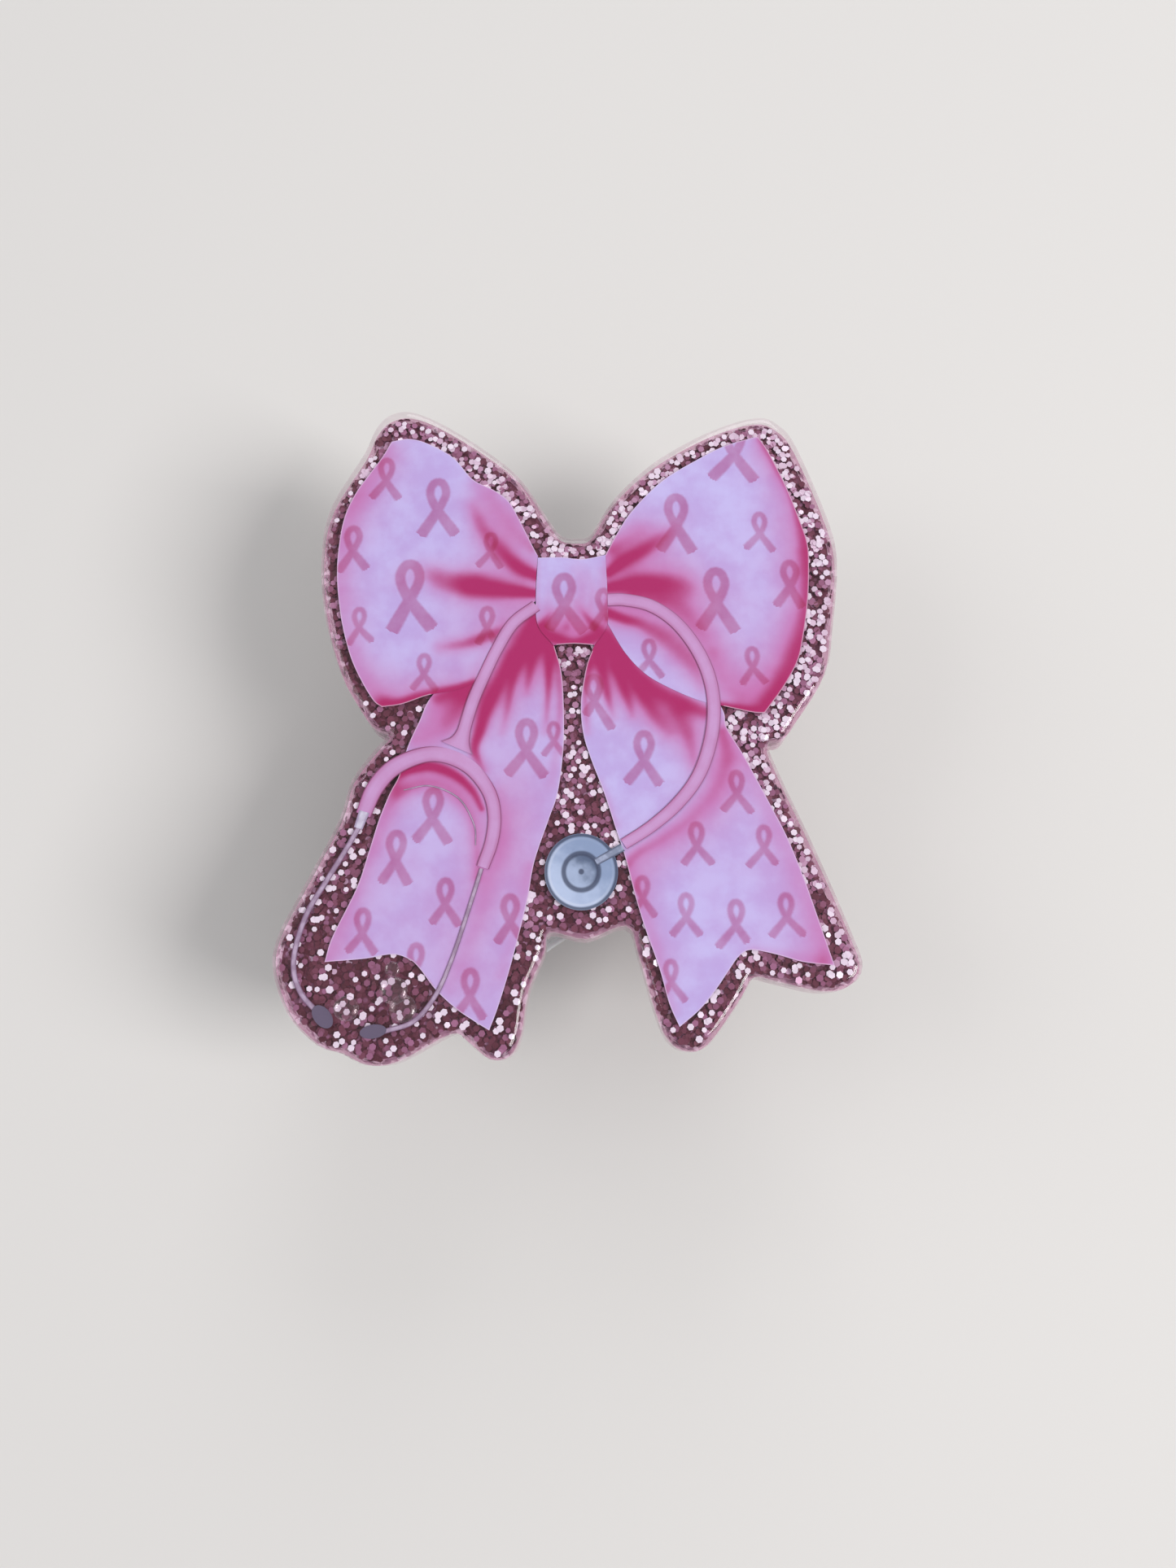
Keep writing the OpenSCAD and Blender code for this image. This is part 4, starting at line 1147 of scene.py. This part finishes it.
class BADGE_OT_stage(bpy.types.Operator):
    """Make the floor, the lamps and the camera"""

    bl_idname = "badge.stage"
    bl_label = "Stage"

    def execute(self, context):
        look = context.scene.stage_look
        scene = context.scene
        scene.view_settings.view_transform = "Standard"
        self.camera(scene, look)
        self.floor(look)
        self.sky(scene, look)
        for lamp in LAMPS:
            self.lamp(*lamp)
        return {"FINISHED"}

    @staticmethod
    def camera(scene, look):
        """A camera above the face, a little towards the viewer, that leans back."""
        data = bpy.data.cameras.new("camera")
        data.sensor_width = SENSOR_MM
        data.lens = LENS_MM
        data.clip_start = 0.005
        made = bpy.data.objects.new("camera", data)
        scene.collection.objects.link(made)
        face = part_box("print_film")[1].z
        made.location = (CAMERA_X, CAMERA_Y, face + look.distance)
        made.rotation_euler = (look.tilt, 0, 0)
        scene.camera = made

    @staticmethod
    def floor(look):
        s = Shader("pale floor")
        path = s.node("LightPath")
        seen = path["Is Camera Ray"].most(path["Is Glossy Ray"])
        cloud = s.noise(6, 3)
        toned = s.mix(cloud.rise(0.3, 0.7) * 0.2, look.floor, darker(look.floor, 0.96))
        matt = s.surface(Base_Color=toned, Roughness=0.75, Specular_IOR_Level=0.2)
        bounce = s.surface(Base_Color=darker(look.floor, 0.75), Roughness=0.8)
        material = s.done(s.layered(seen, bounce, matt))
        reach = np.linspace(-FLOOR_REACH, FLOOR_REACH, 3)
        u, v = np.meshgrid(reach, reach, indexing="ij")
        points = np.stack([u, v, np.zeros_like(u)], -1).reshape(-1, 3)
        made = put_mesh("floor", points, grid_faces(3, 3)[:, ::-1], material)
        made.data.flip_normals()

    @staticmethod
    def sky(scene, look):
        world = bpy.data.worlds.new("studio")
        world.use_nodes = True
        background = world.node_tree.nodes["Background"]
        background.inputs["Color"].default_value = (0.97, 0.975, 1, 1)
        background.inputs["Strength"].default_value = look.sky
        scene.world = world

    @staticmethod
    def lamp(name, place, size, watts, colour):
        """A square lamp that faces the object."""
        data = bpy.data.lights.new(name, "AREA")
        data.size = size
        data.energy = watts
        data.color = colour
        made = bpy.data.objects.new(name, data)
        bpy.context.scene.collection.objects.link(made)
        made.location = place
        made.rotation_euler = (-made.location).to_track_quat("-Z", "Y").to_euler()


class BADGE_OT_plate(bpy.types.Operator):
    """Make the glitter acrylic plate: its core and the flakes round it"""

    bl_idname = "badge.plate"
    bl_label = "Glitter plate"

    skin: length_value(
        "Clear skin", "Clear acrylic outside the core", 0.6 * MM, 0.1 * MM, 1 * MM)

    def execute(self, context):
        look = context.scene.glitter_look
        low, high = (corner.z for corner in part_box("topper_plate"))
        outline = outline_of("topper_plate")
        core_low, core_high = low + 0.3 * MM, high - 0.5 * MM
        core = prism("acrylic_core", outline, [
            (self.skin, core_low), (self.skin, core_high)], glitter_finish(look))
        seat(core, "case", "glitter_acrylic", "topper_plate")
        draw = np.random.default_rng(11)
        material = flake_finish(look)
        self.top_flakes(look, outline, core_high, high, draw, material)
        self.back_flakes(look, outline, low, core_low, draw, material)
        self.wall_flakes(look, outline, low, high, draw, material)
        return {"FINISHED"}

    def top_flakes(self, look, outline, low, high, draw, material):
        """Flakes round the printed bow: the brighter a flake, the nearer the surface it lies."""
        spread = draw.uniform(outline.min(0), outline.max(0), (look.top_count * 8, 2))
        spread = spread[inside(spread, shrink(outline, 0.56 * MM))]
        hidden = np.zeros(len(spread), bool)
        for edges in PANELS.values():
            hidden |= inside(spread, shrink(panel_outline(edges) * MM, 0.2 * MM))
        flat = spread[~hidden][:look.top_count]
        # Painted light: flakes are made brighter towards the upper right and darker towards the lower
        # left.
        painted_light = 0.2 * np.tanh((flat.sum(1) + 4 * MM) / (20 * MM))
        shade = flake_shades(draw, len(flat), painted_light)
        depth = 0.8 * shade + 0.2 * draw.uniform(0, 1, len(flat))
        heights = low + 0.05 * MM + depth * (high - low - 0.13 * MM)
        made = scatter_flakes("glitter_top", np.column_stack([flat, heights]), (0, 0, 1), draw,
                              look, material, shade)
        seat(made, "case", "glitter_acrylic")

    def back_flakes(self, look, outline, low, high, draw, material):
        spread = draw.uniform(outline.min(0), outline.max(0), (look.back_count * 3, 2))
        flat = spread[inside(spread, shrink(outline, 0.42 * MM))][:look.back_count]
        heights = draw.uniform(low + 0.06 * MM, high - 0.03 * MM, len(flat))
        made = scatter_flakes("glitter_back", np.column_stack([flat, heights]), (0, 0, -1), draw,
                              look, material, flake_shades(draw, len(flat), 0))
        seat(made, "case", "glitter_acrylic")

    def wall_flakes(self, look, outline, low, high, draw, material):
        pick = draw.integers(0, len(outline), look.wall_count)
        share = draw.uniform(0, 1, (look.wall_count, 1))
        way = np.roll(outline, -1, 0)[pick] - outline[pick]
        normal = unit(np.column_stack([way[:, 1], -way[:, 0], np.zeros(len(way))]))
        heights = draw.uniform(low + 0.35 * MM, high - 0.4 * MM, (look.wall_count, 1))
        depth = draw.uniform(0.2, 0.55, (look.wall_count, 1)) * MM
        centres = np.hstack([outline[pick] + share * way, heights]) - depth * normal
        made = scatter_flakes("glitter_wall", centres, normal, draw, look, material,
                              flake_shades(draw, len(centres), 0))
        seat(made, "case", "glitter_acrylic")


class BADGE_OT_resin(bpy.types.Operator):
    """Make the clear shell, which is the plate's wall and the domed resin coat in one"""

    bl_idname = "badge.resin"
    bl_label = "Resin coat"

    def execute(self, context):
        look = context.scene.resin_look
        seam, high = (corner.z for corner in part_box("resin_coat"))
        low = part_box("topper_plate")[0].z
        tall = 0.62 * (high - seam)
        rim = [(look.rim * (1 - math.cos(a)), high - tall * (1 - math.sin(a)))
               for a in np.linspace(0, math.pi / 2, 12)]
        profile = [(0.08 * MM, low), (0, low + 0.08 * MM), *rim]
        outline = outline_of("topper_plate")
        coat = prism("clear_shell", outline, profile, clear_finish("clear resin", look.tint))
        seat(coat, "case", "clear_resin", "resin_coat")
        band = ring_band("acrylic_rim", outline, 0.03 * MM, 0.6 * MM, low + 0.05 * MM,
                         seam - 0.45 * MM, rim_finish(look))
        seat(band, "case", "glitter_acrylic")
        self.bubbles(seam, high)
        return {"FINISHED"}

    @staticmethod
    def bubbles(low, high):
        """Bubbles caught low in the resin: each is a flattened ball, rings of a half turn."""
        ball = np.linspace(0.03, math.pi - 0.03, BUBBLE_RINGS)[:, None]
        turn = np.arange(BUBBLE_SPOKES)[None] * 2 * math.pi / BUBBLE_SPOKES
        shape = np.stack([np.sin(ball) * np.cos(turn), np.sin(ball) * np.sin(turn),
                          -np.cos(ball) + 0 * turn], -1)
        count = len(BUBBLES)
        place = np.array([(x, y, 0) for x, y, _ in BUBBLES]) * MM
        place[:, 2] = low + 0.5 * (high - low)
        size = np.array([r for _, _, r in BUBBLES])[:, None, None, None] * MM
        points = place[:, None, None] + shape[None] * size * (1, 1, BUBBLE_FLATNESS)
        one = grid_faces(BUBBLE_RINGS, BUBBLE_SPOKES, wrap=True)
        first = (np.arange(count) * BUBBLE_RINGS * BUBBLE_SPOKES)[:, None]
        faces = (one[None] + first[..., None]).reshape(-1, 4)
        caps = [first + cap for cap in end_caps(BUBBLE_RINGS, BUBBLE_SPOKES)]
        made = put_mesh("resin_bubbles", points.reshape(-1, 3), [faces, *caps],
                        clear_finish("bubble wall", (0.98, 0.95, 0.965), 0.05, 0.06, 3))
        seat(made, "case", "clear_resin")


class BADGE_OT_print(bpy.types.Operator):
    """Make the printed bow: two loops, two tails and the knot"""

    bl_idname = "badge.print"
    bl_label = "Printed bow"

    def execute(self, context):
        material = print_finish(context.scene.print_look)
        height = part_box("print_film")[0].z
        borders = {name: panel_outline(panel) for name, panel in PANELS.items()}
        for name, panel in PANELS.items():
            flat = coons(panel, *panel["grid"]).reshape(-1, 2)
            edge = self.rim_gap(flat, borders, name)
            z = np.full(len(flat), height + panel["layer"] * MM)
            points = np.column_stack([flat * MM, z])
            rows, columns = panel["grid"]
            faces = grid_faces(rows, columns)
            made = put_mesh(name, points, faces, material, {
                "fold": ("POINT", fold_depth(flat, panel["folds"])),
                "blush": ("POINT", fold_depth(flat, panel["folds"] + panel["washes"])),
                "loop": ("POINT", loop_gap(flat, panel["loops"])),
                "edge": ("POINT", edge)})
            if made.data.polygons[len(faces) // 2].normal.z < 0:
                made.data.flip_normals()
            seat(made, "case", "printed_film", *(["print_film"] if name == "bow_knot" else []))
        return {"FINISHED"}

    @staticmethod
    def rim_gap(flat, borders, name):
        """Distance from each point to where this panel's border meets the glitter."""
        border = borders[name]
        covered = np.zeros(len(border), bool)
        for other, outline in borders.items():
            if other != name:
                covered |= inside(border, shrink(outline, -0.25))
        return nearest(flat, np.vstack([border, border[:1]]), covered)[0]


class BADGE_OT_stethoscope(bpy.types.Operator):
    """Make the printed stethoscope that lies over the bow"""

    bl_idname = "badge.stethoscope"
    bl_label = "Printed stethoscope"

    def execute(self, context):
        look = context.scene.print_look
        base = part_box("print_film")[0].z / MM
        tube = tube_finish(look)
        wire = wire_finish("printed ear tube", (0.76, 0.69, 0.79), (0.45, 0.32, 0.45))
        pale = wire_finish("printed ferrule", (0.86, 0.86, 0.93), (0.62, 0.55, 0.68))
        steel = wire_finish("printed stem", (0.70, 0.76, 0.86), (0.27, 0.31, 0.41))
        disc = disc_finish(look)
        tip = plastic_finish("printed ear tip", paint(0.40, 0.36, 0.46), 0.45)
        lines = {
            "scope_yoke_tube": (YOKE_TUBE, tube, TUBE_LAYER),
            "scope_yoke_arch": (YOKE_ARCH, tube, TUBE_LAYER - 0.01),
            "scope_left_ear_tube": (LEFT_EAR_TUBE, wire, TUBE_LAYER - 0.02),
            "scope_right_ear_tube": (RIGHT_EAR_TUBE, wire, TUBE_LAYER - 0.02),
            "scope_chest_tube": (CHEST_TUBE, tube, TUBE_LAYER),
            "scope_fold_line": (FOLD_LINE, wire, LOOP_LAYER),
            "scope_ferrule": (FERRULE, pale, METAL_LAYER),
            "scope_stem": (CHEST_STEM, steel, METAL_LAYER + 0.02),
        }
        for name, (spine, material, layer) in lines.items():
            seat(strip(name, spine, base + layer, material), "case", "printed_film")
        seat(fan("scope_chest_piece", CHEST_CENTRE, CHEST_RADII, 0, base + METAL_LAYER, disc),
             "case", "printed_film")
        for number, (x, y, long, wide, turn) in enumerate(EAR_TIPS, 1):
            made = fan(f"scope_ear_tip_{number}", (x, y), (long, wide), math.radians(turn),
                       base + METAL_LAYER, tip, rings=8, spokes=40)
            seat(made, "case", "printed_film")
        return {"FINISHED"}


class BADGE_OT_case(bpy.types.Operator):
    """Finish the reel's case, its foam disc, and what turns inside it"""

    bl_idname = "badge.case"
    bl_label = "Reel case"

    def execute(self, context):
        look = context.scene.fitting_look
        shell = plastic_finish("moulded case", look.plastic)
        seat(rounded_copy("front_case", "case_front", 0.28 * MM, shell),
             "case", "case_plastic", "front_case")
        seat(rounded_copy("back_case", "case_back", 0.28 * MM, shell),
             "case", "case_plastic", "back_case")
        finish_nodes(foam_finish(), "adhesive_disc")
        finish_nodes(plastic_finish("moulded spool", paint(0.82, 0.81, 0.82), 0.5), "spool")
        finish_nodes(metal_finish("spring steel", look.spring, 0.28), "mainspring",
                     "swivel_washer")
        return {"FINISHED"}


class BADGE_OT_cord(bpy.types.Operator):
    """Make the cord that runs out through the eyelet, and finish the cord on the spool"""

    bl_idname = "badge.cord"
    bl_label = "Cord"

    def execute(self, context):
        look = context.scene.fitting_look
        tail_low, tail_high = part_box("cord_tail")
        lead_low, lead_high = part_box("cord_lead")
        radius = (tail_high.z - tail_low.z) / 2
        middle = (tail_high.z + tail_low.z) / 2
        braid = cord_finish("braided cord", look.cord, middle)
        finish_nodes(cord_finish("wound cord", look.cord, middle), "wound_cord")
        corner_y = lead_low.y + 2.3 * MM
        bend = curve_through([
            (lead_high.x - radius, lead_high.y - radius / 2), (radius, corner_y + radius / 3),
            (0.02 * MM, corner_y - 2 * radius), (0, lead_low.y + radius / 2)], CORD_BEND_STEPS)
        run = np.linspace(lead_low.y, tail_high.y, CORD_RUN_STEPS)
        inner = np.linspace(tail_high.y - 0.2 * MM, tail_low.y, CORD_END_STEPS)
        onward = np.concatenate([run, inner])
        straight = np.column_stack([np.zeros(len(onward)), onward])
        path = np.vstack([bend, straight])
        path = np.column_stack([path, np.full(len(path), middle)])
        angle = np.arange(CORD_SIDES) * 2 * math.pi / CORD_SIDES
        ring = radius * np.stack([np.cos(angle), np.sin(angle)], -1)
        rings = swept(path, np.broadcast_to(ring, (len(path), CORD_SIDES, 2)), (0, 0, 1))
        made = tube_mesh("cord_run", rings, braid)
        made.data.flip_normals()
        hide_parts("cord_lead", "cord_tail")
        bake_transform(made)
        return {"FINISHED"}


class BADGE_OT_strap(bpy.types.Operator):
    """Make the clear vinyl strap, one sheet folded over from the rivet to the snap's flap"""

    bl_idname = "badge.strap"
    bl_label = "Vinyl strap"

    def execute(self, context):
        look = context.scene.fitting_look
        joint = {j["name"]: j for j in frame["joints"]}
        pivot = np.array(joint["strap_swing"]["pos_m"])
        fold = np.array(joint["flap_open"]["pos_m"])
        along = fold[:2] - pivot[:2]
        reach = np.linalg.norm(along)
        along /= reach
        leaf_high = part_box("strap_leaf")[1]
        flap_low, flap_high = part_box("strap_flap")
        thick = flap_high.z - flap_low.z
        mid_top = leaf_high.z - thick / 2
        mid_low = flap_low.z + thick / 2
        round_r = (mid_top - mid_low) / 2
        wide = STRAP_HALF
        flap_end = STRAP_FLAP_END
        out = self.end_steps(-STRAP_END_RADIUS, STRAP_NECK, 26)
        straight = np.linspace(STRAP_NECK, reach, 30)[1:]
        turn = np.linspace(0, math.pi, 22)[1:-1]
        back = np.linspace(reach, flap_end + wide, 24)
        tip = flap_end + wide - wide * np.sin(np.linspace(0, math.pi / 2, 16))[1:]
        x = np.concatenate([out, straight, reach + round_r * np.sin(turn), back, tip])
        z = np.concatenate([
            np.full(len(out) + len(straight), mid_top),
            (mid_top + mid_low) / 2 + round_r * np.cos(turn),
            np.full(len(back) + len(tip), mid_low)])
        half = np.concatenate([
            self.leaf_half(out), np.full(len(straight) + len(turn), wide),
            np.full(len(back), wide),
            np.sqrt(np.maximum(wide ** 2 - (flap_end + wide - tip) ** 2, 0))])
        half = np.maximum(half, thick * 0.3)
        side = np.array([-along[1], along[0], 0])
        path = pivot * (1, 1, 0) + x[:, None] * np.append(along, 0) + z[:, None] * (0, 0, 1)
        rings, edge = self.rings(path, half, thick, side)
        made = tube_mesh("vinyl_strap", rings, vinyl_finish(look.vinyl),
                         {"edge": ("POINT", edge)})
        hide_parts("strap_leaf", "strap_flap")
        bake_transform(made)
        return {"FINISHED"}

    @staticmethod
    def end_steps(first, last, count):
        """Places from first to last that crowd towards first, where the end is round."""
        return first + (last - first) * np.linspace(0, 1, count) ** 1.8

    @staticmethod
    def leaf_half(x):
        """Half width of the riveted end: a circle about the rivet, then a straight widening."""
        lean = math.radians(105)
        leave_x = STRAP_END_RADIUS * math.cos(lean)
        leave_half = STRAP_END_RADIUS * math.sin(lean)
        circle = np.sqrt(np.maximum(STRAP_END_RADIUS ** 2 - x ** 2, 0))
        share = (x - leave_x) / (STRAP_NECK - leave_x)
        widening = leave_half + (STRAP_HALF - leave_half) * share
        return np.where(x < leave_x, circle, widening)

    @staticmethod
    def rings(path, half, thick, side):
        """Rings of a flat section with round edges, and how near each point is to an edge."""
        angle = np.linspace(-math.pi / 2, math.pi / 2, 9)
        bulge = 0.35 * thick
        flat_part = np.linspace(-1, 1, 9)[1:-1]
        ones = np.ones_like(half)[:, None]
        room = (half - bulge)[:, None]
        right = np.stack([room + bulge * np.cos(angle), thick / 2 * np.sin(angle) * ones], -1)
        upper = np.stack([-flat_part * room, thick / 2 * ones * np.ones(7)], -1)
        left = np.stack([-room - bulge * np.cos(angle), -thick / 2 * np.sin(angle) * ones], -1)
        lower = np.stack([flat_part * room, -thick / 2 * ones * np.ones(7)], -1)
        ring = np.concatenate([right, upper, left, lower], 1)
        edge = np.abs(ring[..., 0]) / half[:, None]
        return swept(path, ring, side), edge


class BADGE_OT_fittings(bpy.types.Operator):
    """Finish the eyelet, the cord's end, the rivets and the snap"""

    bl_idname = "badge.fittings"
    bl_label = "Metal fittings"

    def execute(self, context):
        look = context.scene.fitting_look
        nickel = metal_finish("nickel plate", look.nickel, 0.16)
        rounded = {
            "exit_eyelet": ("case", "eyelet_rounded", 0.1),
            "cord_end": ("cord_end", "cord_end_rounded", 0.12),
            "strap_rivet": ("cord_end", "strap_rivet_rounded", 0.14),
            "snap_post": ("strap", "snap_post_rounded", 0.2),
            "snap_socket": ("flap", "snap_socket_rounded", 0.15),
            "snap_cap": ("flap", "snap_cap_rounded", 0.16),
            "clip_rivet": ("case", "clip_rivet_rounded", 0.16),
            "clip_pin": ("clip", "clip_pin_rounded", 0.12),
        }
        for node, (body, name, width_mm) in rounded.items():
            seat(rounded_copy(node, name, width_mm * MM, nickel), body, "nickel", node)
        finish_nodes(nickel, "snap_stud")
        return {"FINISHED"}


class BADGE_OT_clip(bpy.types.Operator):
    """Finish the clip's two plates, and make its spring"""

    bl_idname = "badge.clip"
    bl_label = "Clip"

    def execute(self, context):
        look = context.scene.fitting_look
        sheet = metal_finish("plated sheet", look.nickel, 0.24, brushed=True)
        seat(rounded_copy("clip_base", "clip_base_plate", 0.14 * MM, sheet),
             "clip", "clip_steel", "clip_base")
        seat(rounded_copy("clip_lever", "clip_lever_plate", 0.14 * MM, sheet),
             "lever", "clip_steel", "clip_lever")
        spring = rounded_copy("clip_spring", "clip_spring_wire", 0,
                              metal_finish("clip spring", look.spring, 0.28))
        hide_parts("clip_spring")
        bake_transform(spring)
        return {"FINISHED"}


class BADGE_PT_panel(bpy.types.Panel):
    """Lists what can be built and the values it is built from"""

    bl_idname = "BADGE_PT_panel"
    bl_label = "Badge Reel"
    bl_space_type = "VIEW_3D"
    bl_region_type = "UI"
    bl_category = "Badge Reel"

    def draw(self, context):
        for name, group in LOOKS.items():
            box = self.layout.box()
            box.label(text=group.__doc__)
            look = getattr(context.scene, name)
            for key in group.__annotations__:
                box.prop(look, key)
        for operator in OPERATORS:
            self.layout.operator(operator.bl_idname)


OPERATORS = (BADGE_OT_stage, BADGE_OT_plate, BADGE_OT_resin, BADGE_OT_print,
             BADGE_OT_stethoscope, BADGE_OT_case, BADGE_OT_cord, BADGE_OT_strap,
             BADGE_OT_fittings, BADGE_OT_clip)


def register():
    for group in LOOKS.values():
        bpy.utils.register_class(group)
    for name, group in LOOKS.items():
        setattr(bpy.types.Scene, name, bpy.props.PointerProperty(type=group))
    for operator in OPERATORS:
        bpy.utils.register_class(operator)
    bpy.utils.register_class(BADGE_PT_panel)


def unregister():
    bpy.utils.unregister_class(BADGE_PT_panel)
    for operator in reversed(OPERATORS):
        bpy.utils.unregister_class(operator)
    for name, group in LOOKS.items():
        delattr(bpy.types.Scene, name)
        bpy.utils.unregister_class(group)


def main():
    """Builds everything in order."""
    register()
    for operator in OPERATORS:
        group, name = operator.bl_idname.split(".")
        getattr(getattr(bpy.ops, group), name)()


if __name__ == "__main__":
    main()
